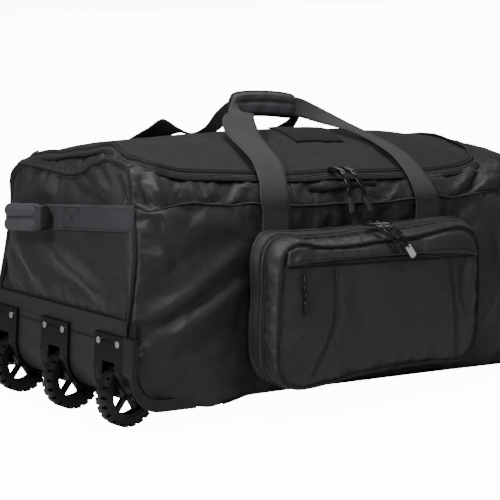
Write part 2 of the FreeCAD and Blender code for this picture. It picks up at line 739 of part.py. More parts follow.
def carry_handle(name, facing):
    """One strap from its two sewn legs over the arch into the grip. facing is -1 in front, 1 behind."""
    width, thick = size("webbing_width"), size("webbing")
    half = size(HALF)
    top = size("grip_height")
    lane = 4

    def arch(across):
        return size(arch_height(str(across)))

    # share of the way to the grip, across, height, lean of the strip's normal from level, fold
    route = [
        (0.00, half + 4.0, size("anchor_height") + 1, 0, 0.0),
        (0.02, half + 4.5, size("side_height") - 4, 8, 0.0),
        (0.06, half - 8.0, arch(half - 8) + 5.0, 45, 0.0),
        (0.16, half - 50, arch(half - 50) + 4.5, 60, 0.0),
        (0.38, half - 100, arch(half - 100) + 6.0, 62, 0.1),
        (0.66, half - 145, arch(half - 145) + 14.0, 50, 0.5),
        (0.86, half - 178, top - 10, 25, 0.85),
        (1.00, lane, top, 0, 1.0),
    ]

    def stations(anchor, grip, way):
        made = []
        for share, across, height, lean, fold in route:
            middle = Vector(anchor + (grip - anchor) * share, facing * across, height)
            turn = math.radians(lean)
            normal = Vector(0, facing * math.cos(turn), math.sin(turn))
            level = Vector(1, 0, 0)
            upright = Vector(0, -facing * math.sin(turn), math.cos(turn))
            along = (Vector(way, 0, 0) * (1 - fold) - upright * fold).normalize()
            made.append((middle, along, normal, width * (1 - fold / 2), thick * (1 + fold)))
        return made

    left = stations(size("anchor_left"), size("grip_start"), 1)
    right = stations(size("anchor_right"), size("grip_finish"), -1)
    strap = doc.addObject("Part::Feature", f"{name}_handle_webbing")
    strap.Shape = strap_solid(left + right[::-1])
    strap.Placement = STANCE
    finished(f"{name}_handle_webbing", strap)
    body = new_body(f"{name}_pad_blank")
    sketch = new_sketch(body, "YZ", "grip_start", "grip_finish")
    gap = f"({facing}) * zip_gap"
    low, high = "grip_height - grip_radius", "grip_height + grip_radius"
    side = f"({facing}) * (grip_radius - 1)"
    draw_outline(sketch, [
        (gap, high), (gap, low), (side, f"{low} + grip_radius / 2"), (side, f"{high} - grip_radius / 2"),
    ])
    pad(body, sketch, "grip_start", "grip_finish")
    finished(f"{name}_grip_pad", cut(f"{name}_grip_pad", body, strap))


carry_handle("front", -1)
carry_handle("rear", 1)


# ---- zip sliders and pulls ----
def slider(name, x, y, z):
    finished(name, block(name, (f"{x} - slider_half", f"{x} + slider_half"), y, z))


def pull(name, x, points):
    finished(name, slab(name, "YZ", points, f"{x} - pull_half", f"{x} + pull_half"))


# a pull hangs this far off its panel, and its outer face is one thickness further out
HANG = "(slider_half / 2 + zip_gap)"
HANG_OUT = f"({HANG} + pull_thick)"
LID_ROW = f"-({HALF} - lid_half / 8)"
for side in ("left", "right"):
    x = f"lid_slider_{side}"
    slider(x, x, (f"{LID_ROW} - 8", f"{LID_ROW} + 1.5"), ("lid_slider_low", "lid_slider_high"))
    pull(f"lid_pull_{side}", x, [
        (f"{LID_ROW} - 9.5", "lid_slider_high - 1.5"), (f"-{HALF} - {HANG}", "lid_slider_low - 11.6"),
        (f"-{HALF} - {HANG}", "lid_pull_low"), (f"-{HALF} - {HANG_OUT}", "lid_pull_low"),
        (f"-{HALF} - {HANG_OUT}", "lid_slider_low - 10.1"), (f"{LID_ROW} - 11.5", "lid_slider_high + 1.5"),
    ])

TOP = "pocket_high"
ON_DOOR = f"{POCKET_BACK} - ({DOOR_ZIP})"
for side in ("left", "right"):
    x = f"pocket_slider_{side}"
    slider(x, x, (f"{ON_DOOR} - 8", ON_DOOR), (f"{TOP} + zip_gap", f"{TOP} + 5"))
    pull(f"pocket_pull_{side}", x, [
        (f"{ON_DOOR} - 10", f"{TOP} + 1"), (f"{POCKET_FRONT} - 1", f"{TOP} + 1"),
        (f"{POCKET_FRONT} - 2", f"{TOP} - 1"), (f"{POCKET_FRONT} - 2", f"{TOP} - pocket_pull_drop"),
        (f"{POCKET_FRONT} - 2 - pull_thick", f"{TOP} - pocket_pull_drop"),
        (f"{POCKET_FRONT} - 2 - pull_thick", f"{TOP} + 1"),
        (f"{POCKET_FRONT} - 2", f"{TOP} + 4"), (f"{ON_DOOR} - 10", f"{TOP} + 4"),
    ])
slider("slip_slider", "slip_slider_place", (f"{POCKET_FRONT} - 5", f"{POCKET_FRONT} - 1.2"),
       ("slip_low + zip_gap", "slip_high + zip_gap"))
pull("slip_pull", "slip_slider_place", [
    (f"{POCKET_FRONT} - 2", "slip_pull_high"), (f"{POCKET_FRONT} - 2", "slip_pull_low"),
    (f"{POCKET_FRONT} - 2 - pull_thick", "slip_pull_low"),
    (f"{POCKET_FRONT} - 2 - pull_thick", "slip_pull_high"),
])

# ---- check and export ----
doc.recompute()
for item in doc.Objects:
    if {"Invalid", "Error"} & set(item.State):
        raise RuntimeError(f"{item.Name} failed: {item.State}")
os.makedirs("parts", exist_ok=True)
for item in FINISHED:
    if item.Shape.isNull() or not item.Shape.isValid() or not item.Shape.Solids:
        raise RuntimeError(f"{item.Label} has no valid solid")
    item.Shape.exportStep(f"parts/{item.Label}.step")
    print(item.Label, len(item.Shape.Solids), round(item.Shape.Volume / 1000, 2), "cm3")
print(len(FINISHED), "sub-parts, tilt", round(math.degrees(tilt), 3))
print("stance", STANCE)
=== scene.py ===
import json
import math

import bpy
import numpy as np
from mathutils import Matrix, Vector

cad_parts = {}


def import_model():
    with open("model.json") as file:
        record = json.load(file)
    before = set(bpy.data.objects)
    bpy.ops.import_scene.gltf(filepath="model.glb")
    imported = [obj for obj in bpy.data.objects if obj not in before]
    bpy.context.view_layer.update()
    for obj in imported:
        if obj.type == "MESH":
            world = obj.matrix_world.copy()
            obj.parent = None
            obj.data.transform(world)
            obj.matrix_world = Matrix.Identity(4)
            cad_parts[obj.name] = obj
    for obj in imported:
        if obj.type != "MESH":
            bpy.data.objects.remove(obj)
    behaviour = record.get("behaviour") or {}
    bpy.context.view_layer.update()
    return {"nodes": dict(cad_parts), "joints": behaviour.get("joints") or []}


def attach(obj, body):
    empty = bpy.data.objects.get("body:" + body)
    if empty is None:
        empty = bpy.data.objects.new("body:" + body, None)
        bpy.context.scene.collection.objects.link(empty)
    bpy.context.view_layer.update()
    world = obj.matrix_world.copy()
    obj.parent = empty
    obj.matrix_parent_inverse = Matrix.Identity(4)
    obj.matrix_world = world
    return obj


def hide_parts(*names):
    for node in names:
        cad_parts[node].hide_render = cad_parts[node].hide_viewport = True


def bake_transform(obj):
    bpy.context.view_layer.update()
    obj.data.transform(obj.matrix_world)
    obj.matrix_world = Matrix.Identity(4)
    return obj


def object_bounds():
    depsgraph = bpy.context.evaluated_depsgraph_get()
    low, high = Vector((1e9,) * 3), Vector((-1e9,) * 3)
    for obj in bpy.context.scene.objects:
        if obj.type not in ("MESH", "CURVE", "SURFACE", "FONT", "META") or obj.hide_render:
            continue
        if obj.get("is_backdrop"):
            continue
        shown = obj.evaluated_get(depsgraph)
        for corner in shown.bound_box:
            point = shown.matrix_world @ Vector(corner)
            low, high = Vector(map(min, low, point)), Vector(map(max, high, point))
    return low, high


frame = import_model()
nodes = frame["nodes"]
joints = {joint["name"]: joint for joint in frame["joints"]}

# The bag's own frame, in millimetres: x from the wheel end, y from front to back, z up from the
# underside. The lid's hinge gives its tilt and the middle wheel its place.
hinge_axis = joints["lid_hinge"]["axis"]
TILT = math.atan2(hinge_axis[2], -hinge_axis[0])
TURN = np.array([
    [math.cos(TILT), 0, math.sin(TILT)],
    [0, 1, 0],
    [-math.sin(TILT), 0, math.cos(TILT)],
])
WHEEL_CENTRE = (27, 0, 5.5)
ORIGIN = np.array(joints["wheel_middle_spin"]["pos_m"]) - TURN @ np.array(WHEEL_CENTRE) / 1000
FABRIC = 3


def world(points):
    """points of the bag, in millimetres, as points of the row frame, in metres"""
    return np.asarray(points, float) / 1000 @ TURN.T + ORIGIN


# ---------------------------------------------------------------- camera, light and floor

camera = bpy.data.objects.new("camera", bpy.data.cameras.new("camera"))
bpy.context.scene.collection.objects.link(camera)
camera.data.sensor_width = 36
camera.data.lens = 142.42
camera.data.clip_start, camera.data.clip_end = 0.1, 50
HEADING, PITCH = math.radians(-38.4), math.radians(80.9)
CAMERA_PLACE = (-1611.0, -2461, 586.1)
CAMERA_TILT = 0.051064
aim = Matrix.Rotation(HEADING, 3, "Z") @ Matrix.Rotation(PITCH, 3, "X")
aim = Matrix.Rotation(TILT - CAMERA_TILT, 3, "Y") @ aim
camera.matrix_world = Matrix.Translation(world(CAMERA_PLACE)) @ aim.to_4x4()
bpy.context.scene.camera = camera


def softbox(name, place, target, size, power):
    light = bpy.data.lights.new(name, "AREA")
    light.shape = "RECTANGLE"
    light.size, light.size_y = size
    light.energy = power
    lamp = bpy.data.objects.new(name, light)
    bpy.context.scene.collection.objects.link(lamp)
    lamp.location = place
    lamp.rotation_euler = (Vector(target) - Vector(place)).to_track_quat("-Z", "Y").to_euler()


softbox("overhead", (-0.3, -0.3, 2.5), (0, 0, 0.2), (0.9, 0.7), 58)
softbox("from_left", (-2.6, -0.8, 2.0), (0, 0, 0.2), (0.6, 0.6), 84)
softbox("from_right", (1.2, -2.4, 2.3), (0, 0, 0.2), (0.6, 0.6), 22)

WHITE = (1, 1, 1, 1)
GLOW, BACKDROP, FLOOR_GLOW = 0.045, 11.0, 13.0
surround = bpy.data.worlds.new("surround")
surround.use_nodes = True
glow = surround.node_tree.nodes["Background"]
glow.inputs[0].default_value = WHITE
glow.inputs[1].default_value = GLOW
backdrop = surround.node_tree.nodes.new("ShaderNodeBackground")
backdrop.inputs[0].default_value = WHITE
backdrop.inputs[1].default_value = BACKDROP
seen = surround.node_tree.nodes.new("ShaderNodeLightPath")
choose = surround.node_tree.nodes.new("ShaderNodeMixShader")
surround.node_tree.links.new(seen.outputs["Is Camera Ray"], choose.inputs[0])
surround.node_tree.links.new(glow.outputs[0], choose.inputs[1])
surround.node_tree.links.new(backdrop.outputs[0], choose.inputs[2])
surround.node_tree.links.new(choose.outputs[0], surround.node_tree.nodes["World Output"].inputs[0])
bpy.context.scene.world = surround


# ---------------------------------------------------------------- materials

def linear(grey):
    """a screen colour from 0 to 255 as a linear one"""
    return tuple(
        (c / 255 / 12.92 if c < 10.3 else ((c / 255 + 0.055) / 1.055) ** 2.4) for c in grey
    ) + (1.0,)


class Shader:
    """one procedural material, built up node by node"""

    def __init__(self, name, roughness, metallic=0.0, sheen=0.0, specular=0.5):
        self.material = bpy.data.materials.new(name)
        self.material.use_nodes = True
        self.tree = self.material.node_tree
        self.bsdf = self.tree.nodes["Principled BSDF"]
        self.bsdf.inputs["Roughness"].default_value = roughness
        self.bsdf.inputs["Metallic"].default_value = metallic
        self.bsdf.inputs["Specular IOR Level"].default_value = specular
        self.bsdf.inputs["Sheen Weight"].default_value = sheen
        self.bsdf.inputs["Sheen Roughness"].default_value = 0.45

    def node(self, kind):
        return self.tree.nodes.new("ShaderNode" + kind)

    def put(self, node, socket, value):
        socket = node.inputs[socket]
        if hasattr(value, "is_output"):
            self.tree.links.new(value, socket)
        else:
            socket.default_value = value

    def math(self, operation, a, b):
        made = self.node("Math")
        made.operation = operation
        self.put(made, 0, a)
        self.put(made, 1, b)
        return made.outputs[0]

    def mixed(self, a, share_a, b, share_b):
        """the sum of two values, each times its share"""
        return self.math("ADD", self.math("MULTIPLY", a, share_a), self.math("MULTIPLY", b, share_b))

    def noise(self, coordinates, scale, detail=2.0, rough=0.5):
        made = self.node("TexNoise")
        self.put(made, "Vector", coordinates)
        self.put(made, "Scale", scale)
        self.put(made, "Detail", detail)
        self.put(made, "Roughness", rough)
        return made.outputs[0]

    def place(self):
        return self.node("TexCoord").outputs["Object"]

    def cloth(self):
        return self.node("TexCoord").outputs["UV"]

    def ramp(self, value, low, high, start=0.3, finish=0.7):
        made = self.node("ValToRGB")
        self.put(made, 0, value)
        made.color_ramp.elements[0].position = start
        made.color_ramp.elements[0].color = low
        made.color_ramp.elements[1].position = finish
        made.color_ramp.elements[1].color = high
        return made.outputs[0]

    def spread(self, value, low, high):
        made = self.node("MapRange")
        self.put(made, 0, value)
        made.inputs[3].default_value = low
        made.inputs[4].default_value = high
        return made.outputs[0]

    def bump(self, height, strength, distance):
        made = self.node("Bump")
        made.inputs["Strength"].default_value = strength
        made.inputs["Distance"].default_value = distance
        self.put(made, "Height", height)
        self.put(self.bsdf, "Normal", made.outputs[0])

    def colour(self, tone, grey, spread, start=0.3, finish=0.7):
        """the grey, darker and lighter by the spread as the tone goes from low to high"""
        low, high = shades(linear(grey), spread)
        self.put(self.bsdf, "Base Color", self.ramp(tone, low, high, start, finish))

    def wave(self, coordinates, direction, period):
        """ribs of the given period across the direction, where coordinates are in millimetres"""
        made = self.node("TexWave")
        made.bands_direction = direction
        self.put(made, "Vector", coordinates)
        made.inputs["Scale"].default_value = math.pi / 10 / period
        return made.outputs[1]


def shades(colour, spread):
    """a darker and a lighter shade of a colour"""
    return [tuple(c * k for c in colour[:3]) + (1.0,) for k in (1 - spread, 1 + spread)]


def woven(name, grey, thread=0.9, roughness=0.5, sheen=0.06, spread=0.22, relief=0.55, specular=0.5):
    """plain-woven polyester: over-and-under threads, slubs, and a soft unevenness"""
    made = Shader(name, roughness, sheen=sheen, specular=specular)
    cloth, place = made.cloth(), made.place()
    warp = made.wave(cloth, "X", thread)
    weft = made.wave(cloth, "Y", thread)
    over = made.math("MAXIMUM", warp, weft)
    slub = made.noise(cloth, 0.35, 3.0)
    weave = made.math("MULTIPLY", over, made.math("ADD", slub, 0.5))
    broad = made.noise(place, 9.0, 3.0, 0.6)
    fine = made.noise(place, 260.0, 2.0, 0.7)
    tone = made.mixed(broad, 0.65, fine, 0.35)
    tone = made.math("ADD", tone, made.math("MULTIPLY", made.math("SUBTRACT", weave, 0.6), 0.10))
    made.colour(tone, grey, spread)
    made.put(made.bsdf, "Roughness", made.spread(broad, roughness - 0.1, roughness + 0.1))
    crumple = made.noise(place, 34.0, 4.0, 0.62)
    height = made.mixed(weave, 0.35, crumple, 3.2)
    made.bump(height, relief, 0.0012)
    return made.material


def webbed(name, grey, rib=1.7, roughness=0.7, relief=0.6):
    """heavy ribbed webbing, its ribs along the strap and a weft across it"""
    made = Shader(name, roughness, sheen=0.05, specular=0.25)
    cloth, place = made.cloth(), made.place()
    ribs = made.wave(cloth, "Y", rib)
    weft = made.wave(cloth, "X", rib * 1.25)
    fuzz = made.noise(place, 700.0, 2.0, 0.7)
    broad = made.noise(place, 22.0, 3.0)
    tone = made.mixed(ribs, 0.3, fuzz, 0.3)
    tone = made.math("ADD", tone, made.math("MULTIPLY", broad, 0.45))
    made.colour(tone, grey, 0.22, 0.25, 0.75)
    made.put(made.bsdf, "Roughness", made.spread(fuzz, roughness - 0.08, roughness + 0.1))
    height = made.math("ADD", made.math("MULTIPLY", ribs, weft), made.math("MULTIPLY", fuzz, 0.5))
    made.bump(height, relief, 0.0006)
    return made.material


def moulded(name, grey, roughness=0.45, grain=900.0, relief=0.25, spread=0.12, specular=0.5, hollow_edge_tone=0.5):
    """moulded plastic or rubber: a fine grain, and a tone that goes darker in the hollows and paler on
    sharp edges
    """
    made = Shader(name, roughness, specular=specular)
    place = made.place()
    fine = made.noise(place, grain, 2.0, 0.6)
    broad = made.noise(place, 16.0, 4.0, 0.65)
    # the tone goes darker in hollows and paler on sharp edges, following the surface's pointiness
    edge = made.node("NewGeometry").outputs["Pointiness"]
    hollow_edge_shift = made.math("MULTIPLY", made.spread(edge, -2.3, 2.5), hollow_edge_tone)
    tone = made.mixed(fine, 0.25, broad, 0.75)
    tone = made.math("ADD", tone, hollow_edge_shift)
    made.colour(tone, grey, spread)
    made.put(made.bsdf, "Roughness", made.spread(broad, roughness - 0.08, roughness + 0.12))
    made.bump(made.math("ADD", fine, made.math("MULTIPLY", broad, 0.6)), relief, 0.0005)
    return made.material


def metal(name, grey, roughness=0.32, brush=0.15):
    """plain metal, a little uneven and brushed"""
    made = Shader(name, roughness, metallic=1.0)
    place = made.place()
    fine = made.noise(place, 1400.0, 2.0, 0.6)
    broad = made.noise(place, 60.0, 3.0, 0.6)
    made.colour(broad, grey, 0.2)
    made.put(made.bsdf, "Roughness", made.spread(fine, roughness - 0.08, roughness + 0.12))
    made.bump(fine, brush, 0.0003)
    return made.material


body_cloth = woven("body_cloth", (24, 25, 28), roughness=0.44)
# the lid's grey is set darker than the body cloth's to take down the overhead light on the top: painted
# shade over the fabric's own dark colour
lid_cloth = woven("lid_cloth", (20, 21, 24), roughness=0.55, specular=0.32)
pocket_cloth = woven("pocket_cloth", (27, 28, 31), roughness=0.42)
base_cloth = woven("base_cloth", (15, 15, 17), thread=1.4, relief=0.7)
lining = woven("lining", (14, 14, 16), thread=0.7, roughness=0.8, sheen=0.1)
binding = webbed("binding", (30, 31, 34), rib=0.9)
dark_binding = webbed("dark_binding", (10, 10, 12), rib=0.9)
strap_cloth = webbed("strap_cloth", (54, 54, 56))
end_strap_cloth = webbed("end_strap_cloth", (50, 51, 54))
grip_cloth = woven("grip_cloth", (56, 57, 61), thread=0.8)
badge_cloth = webbed("badge_cloth", (12, 12, 14), rib=2.4, roughness=0.9, relief=1.0)
thread_cloth = webbed("thread_cloth", (14, 14, 16), rib=0.4)
zip_cloth = webbed("zip_cloth", (9, 9, 11), rib=0.7)
coil_plastic = moulded("coil_plastic", (48, 49, 52), 0.35, hollow_edge_tone=0.2)
tyre_rubber = moulded("tyre_rubber", (14, 14, 15), 0.4, grain=500.0, relief=0.5, spread=0.3)
rim_plastic = moulded("rim_plastic", (14, 14, 15), 0.4)
bush_plastic = moulded("bush_plastic", (34, 34, 36), 0.4)
housing_plastic = moulded("housing_plastic", (7, 7, 7), 0.3, relief=0.35, spread=0.2, specular=0.22)
rail_plastic = moulded("rail_plastic", (10, 10, 12), 0.28, relief=0.35, spread=0.2, specular=0.4)
kick_plastic = moulded("kick_plastic", (30, 31, 34), 0.5, grain=600.0, relief=0.3)
pull_rubber = moulded("pull_rubber", (8, 8, 9), 0.4, hollow_edge_tone=0.2)
pale_pull = moulded("pale_pull", (170, 171, 174), 0.4, hollow_edge_tone=0.2)
board_plastic = moulded("board_plastic", (20, 20, 22), 0.6, grain=300.0)
slider_metal = metal("slider_metal", (92, 92, 95), 0.3)
rivet_steel = metal("rivet_steel", (190, 190, 191), 0.2)

floor_mesh = bpy.data.meshes.new("floor")
floor_mesh.from_pydata([(-12, -12, 0), (12, -12, 0), (12, 12, 0), (-12, 12, 0)], [], [(0, 1, 2, 3)])
floor = bpy.data.objects.new("floor", floor_mesh)
bpy.context.scene.collection.objects.link(floor)
pale = Shader("pale_floor", 0.8, specular=0.1)
to_camera = pale.node("LightPath").outputs["Is Camera Ray"]
pale.bsdf.inputs["Emission Color"].default_value = WHITE
pale.put(pale.bsdf, "Emission Strength", pale.math("MULTIPLY", to_camera, FLOOR_GLOW))
floor_tone = pale.noise(pale.place(), 2.0, 2.0)
pale.put(pale.bsdf, "Base Color", pale.ramp(floor_tone, (0.4, 0.4, 0.4, 1), (0.44, 0.44, 0.44, 1)))
floor_mesh.materials.append(pale.material)
floor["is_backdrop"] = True


# ---------------------------------------------------------------- shapes

def unit(ways):
    return ways / np.maximum(np.linalg.norm(ways, axis=-1, keepdims=True), 1e-9)


def run_along(path):
    """the length of a path from its start to each of its points"""
    return np.concatenate([[0], np.cumsum(np.linalg.norm(np.diff(path, axis=0), axis=1))])


def read_off(places, run, values):
    """the values given along a path, read off at other lengths along it"""
    return np.stack([np.interp(places, run, values[:, k]) for k in range(3)], -1)


def facing(way, count):
    """the same direction for each point of a path"""
    return np.tile(np.array(way, float), (count, 1))


def curve(points):
    """a smooth line through the points, as a function of the share of its length"""
    given = [np.array(p, float) for p in points]
    given = [2 * given[0] - given[1]] + given + [2 * given[-1] - given[-2]]
    dense = []
    for a, b, c, d in zip(given, given[1:], given[2:], given[3:]):
        ta = 0.0
        tb = ta + max(np.linalg.norm(b - a), 1e-6) ** 0.5
        tc = tb + max(np.linalg.norm(c - b), 1e-6) ** 0.5
        td = tc + max(np.linalg.norm(d - c), 1e-6) ** 0.5
        for t in np.linspace(tb, tc, 16, endpoint=False):
            ab = ((tb - t) * a + (t - ta) * b) / (tb - ta)
            bc = ((tc - t) * b + (t - tb) * c) / (tc - tb)
            cd = ((td - t) * c + (t - tc) * d) / (td - tc)
            left = ((tc - t) * ab + (t - ta) * bc) / (tc - ta)
            right = ((td - t) * bc + (t - tb) * cd) / (td - tb)
            dense.append(((tc - t) * left + (t - tb) * right) / (tc - tb))
    dense.append(given[-2])
    dense = np.array(dense)
    run = run_along(dense)
    run /= run[-1]

    def at(share):
        return read_off(share, run, dense)

    return at


def coons(bottom, top, left, right, nu, nv, near=1.0, far=1.0):
    """a sheet between four lines; near and far say how soon the end lines' shapes fade"""
    u, v = np.linspace(0, 1, nu), np.linspace(0, 1, nv)
    low, high, start, finish = bottom(u), top(u), left(v), right(v)
    share = v[None, :, None]
    sheet = (1 - share) * low[:, None] + share * high[:, None]
    start = start - ((1 - v)[:, None] * low[0] + v[:, None] * high[0])
    finish = finish - ((1 - v)[:, None] * low[-1] + v[:, None] * high[-1])
    sheet += ((1 - u) ** near)[:, None, None] * start[None]
    sheet += (u ** far)[:, None, None] * finish[None]
    return sheet


def faces_out(sheet, inside):
    """the sheet's unit normals, pointing away from the point inside"""
    gu, gv = np.gradient(sheet, axis=(0, 1))
    out = unit(np.cross(gu, gv))
    if (out * (sheet - np.array(inside, float))).sum(-1).mean() < 0:
        out = -out
    return out


def dome(sheet, across=1.0, along=1.0):
    """1 in the middle of a sheet and 0 round its edge"""
    u = np.sin(np.pi * np.linspace(0, 1, sheet.shape[0])) ** across
    v = np.sin(np.pi * np.linspace(0, 1, sheet.shape[1])) ** along
    return u[:, None] * v[None, :]


def edge_fade(sheet, steps=4):
    """1 inside a sheet, falling to 0 over its outermost rows"""
    u = np.minimum(np.arange(sheet.shape[0]), np.arange(sheet.shape[0])[::-1]) / steps
    v = np.minimum(np.arange(sheet.shape[1]), np.arange(sheet.shape[1])[::-1]) / steps
    u, v = np.clip(u, 0, 1), np.clip(v, 0, 1)
    return (u * u * (3 - 2 * u))[:, None] * (v * v * (3 - 2 * v))[None, :]


def ripple(points, size, seed, stretch=(1, 1, 1)):
    """smooth seeded unevenness, about -1 to 1, with bumps of the given size"""
    draw = np.random.default_rng(seed)
    total = np.zeros(points.shape[:-1])
    for _ in range(14):
        way = draw.normal(size=3) / np.array(stretch)
        way *= 2 * np.pi / (size * draw.uniform(0.7, 1.8)) / max(np.linalg.norm(way), 1e-6)
        way = way / np.array(stretch) * np.mean(stretch)
        total += np.cos(points @ way + draw.uniform(0, 2 * np.pi))
    return total / 14 ** 0.5 / 1.2


def fold(points, line, height, width):
    """a ridge, or with a negative height a crease, that follows a line and dies out at its ends"""
    steps = np.linspace(0, 1, 70)
    spine = curve(line)(steps)
    gap = np.linalg.norm(points[..., None, :] - spine, axis=-1)
    nearest = gap.argmin(-1)
    fade = np.sin(np.pi * np.clip(steps[nearest] * 0.94 + 0.03, 0, 1)) ** 0.6
    return height * fade * np.exp(-(gap.min(-1) / width) ** 2)


def folds(points, ridges):
    return sum(fold(points, *ridge) for ridge in ridges)


def push(sheet, out, height):
    """moves a sheet, in place, by a height along its directions out"""
    sheet += out * height[..., None]


class Piece:
    """a mesh gathered from sheets, tubes and stitches"""

    def __init__(self, name, *materials):
        self.name, self.materials = name, materials
        self.vertices, self.faces, self.uvs, self.marks, self.count = [], [], [], [], 0

    def sheet(self, sheet, mark=0, inside=None, ring=False, loop=False, caps=False):
        nu, nv = sheet.shape[:2]
        index = np.arange(nu * nv).reshape(nu, nv) + self.count
        along = np.linalg.norm(np.diff(sheet, axis=0), axis=-1).mean(1)
        over = np.linalg.norm(np.diff(sheet, axis=1), axis=-1).mean(0)
        u = np.concatenate([[0], np.cumsum(along)])
        v = np.concatenate([[0], np.cumsum(over)])
        if ring:
            index = np.concatenate([index, index[:, :1]], 1)
            v = np.append(v, v[-1] + over.mean())
        if loop:
            index = np.concatenate([index, index[:1]], 0)
            u = np.append(u, u[-1] + along.mean())
        flip = False
        if inside is not None:
            gu, gv = np.gradient(sheet, axis=(0, 1))
            flip = (np.cross(gu, gv) * (sheet - np.array(inside, float))).sum() < 0
        for i in range(index.shape[0] - 1):
            for j in range(index.shape[1] - 1):
                corner = [(i, j), (i + 1, j), (i + 1, j + 1), (i, j + 1)]
                if flip:
                    corner.reverse()
                self.faces.append([int(index[c]) for c in corner])
                self.uvs.extend([(u[a], v[b]) for a, b in corner])
                self.marks.append(mark)
        if caps:
            for row, back in ((index[0], not flip), (index[-1], flip)):
                rim = [int(k) for k in row[: nv]]
                if back:
                    rim.reverse()
                self.faces.append(rim)
                self.uvs.extend([(0.0, float(k)) for k in range(nv)])
                self.marks.append(mark)
        self.vertices.append(sheet.reshape(-1, 3))
        self.count += nu * nv
        return self

    def sweep(self, path, across, up, profile, mark=0, loop=False):
        """a closed profile of (across, up) pairs carried along a path"""
        profile = np.array(profile, float)
        if profile.ndim == 2:
            profile = np.broadcast_to(profile, (len(path),) + profile.shape)
        solid = path[:, None] + across[:, None] * profile[..., :1] + up[:, None] * profile[..., 1:]
        gu, gv = np.gradient(solid, axis=(0, 1))
        turned = (np.cross(gu, gv) * (solid - path[:, None])).sum() < 0
        start = len(self.faces)
        self.sheet(solid, mark, ring=True, loop=loop, caps=not loop)
        if turned:
            self.turn(start)

    def turn(self, start):
        """faces the other way round, from the given one on"""
        uv = sum(len(f) for f in self.faces[:start])
        for k in range(start, len(self.faces)):
            size = len(self.faces[k])
            self.faces[k].reverse()
            self.uvs[uv:uv + size] = self.uvs[uv:uv + size][::-1]
            uv += size

    def tube(self, path, radius, mark=0, loop=False, sides=8, squash=1.0):
        path = np.asarray(path, float)
        across, up = frames(path, loop)
        turns = np.linspace(0, 2 * np.pi, sides, endpoint=False)
        ring = np.stack([np.cos(turns), np.sin(turns) * squash], -1)
        radius = np.broadcast_to(np.asarray(radius, float), (len(path),))
        self.sweep(path, across, up, radius[:, None, None] * ring[None], mark, loop)

    def stitches(self, path, out, pitch=4.2, long=2.9, wide=0.55, mark=0):
        """short thread stitches along a path, standing slightly proud of the surface"""
        path, out = np.asarray(path, float), np.asarray(out, float)
        run = run_along(path)
        for place in np.arange(pitch / 2, run[-1], pitch):
            a, m, b = (read_off(place + s, run, path) for s in (-long / 2, 0, long / 2))
            n = read_off(place, run, out)
            side = unit(np.cross(b - a, n)) * wide
            n = unit(n) * wide
            corners = [a - n * 0.6, m + side, m + n * 1.3, m - side, m - n, b - n * 0.6]
            k = self.count
            self.vertices.append(np.array(corners))
            for face in ((0, 1, 2), (0, 2, 3), (0, 3, 4), (0, 4, 1),
                         (5, 2, 1), (5, 3, 2), (5, 4, 3), (5, 1, 4)):
                self.faces.append([k + f for f in face])
                self.uvs.extend([(0.0, 0.0), (1.0, 0.0), (0.0, 1.0)])
                self.marks.append(mark)
            self.count += 6

    def make(self, body=None, slot=None, stands_for=(), bend=None, thick=0.0, smooth=0, cloth=None):
        mesh = bpy.data.meshes.new(self.name)
        mesh.from_pydata(world(np.concatenate(self.vertices)).tolist(), [], self.faces)
        layer = mesh.uv_layers.new(name="cloth")
        layer.data.foreach_set("uv", np.array(self.uvs, np.float32).ravel())
        for material in self.materials:
            mesh.materials.append(material)
        mesh.polygons.foreach_set("material_index", self.marks)
        mesh.polygons.foreach_set("use_smooth", [True] * len(mesh.polygons))
        mesh.validate()
        mesh.update()
        made = bpy.data.objects.new(self.name, mesh)
        bpy.context.scene.collection.objects.link(made)
        if cloth:
            settle(made, *cloth)
        if bend:
            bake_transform(made)
        else:
            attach(made, body)
        if thick:
            solid = made.modifiers.new("thickness", "SOLIDIFY")
            solid.thickness = thick / 1000
            solid.offset = -1
        if smooth:
            made.modifiers.new("smooth", "SUBSURF").levels = smooth
            made.modifiers["smooth"].render_levels = smooth
        if stands_for:
            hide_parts(*stands_for)
        return made


CLOTH_FRAMES = 20


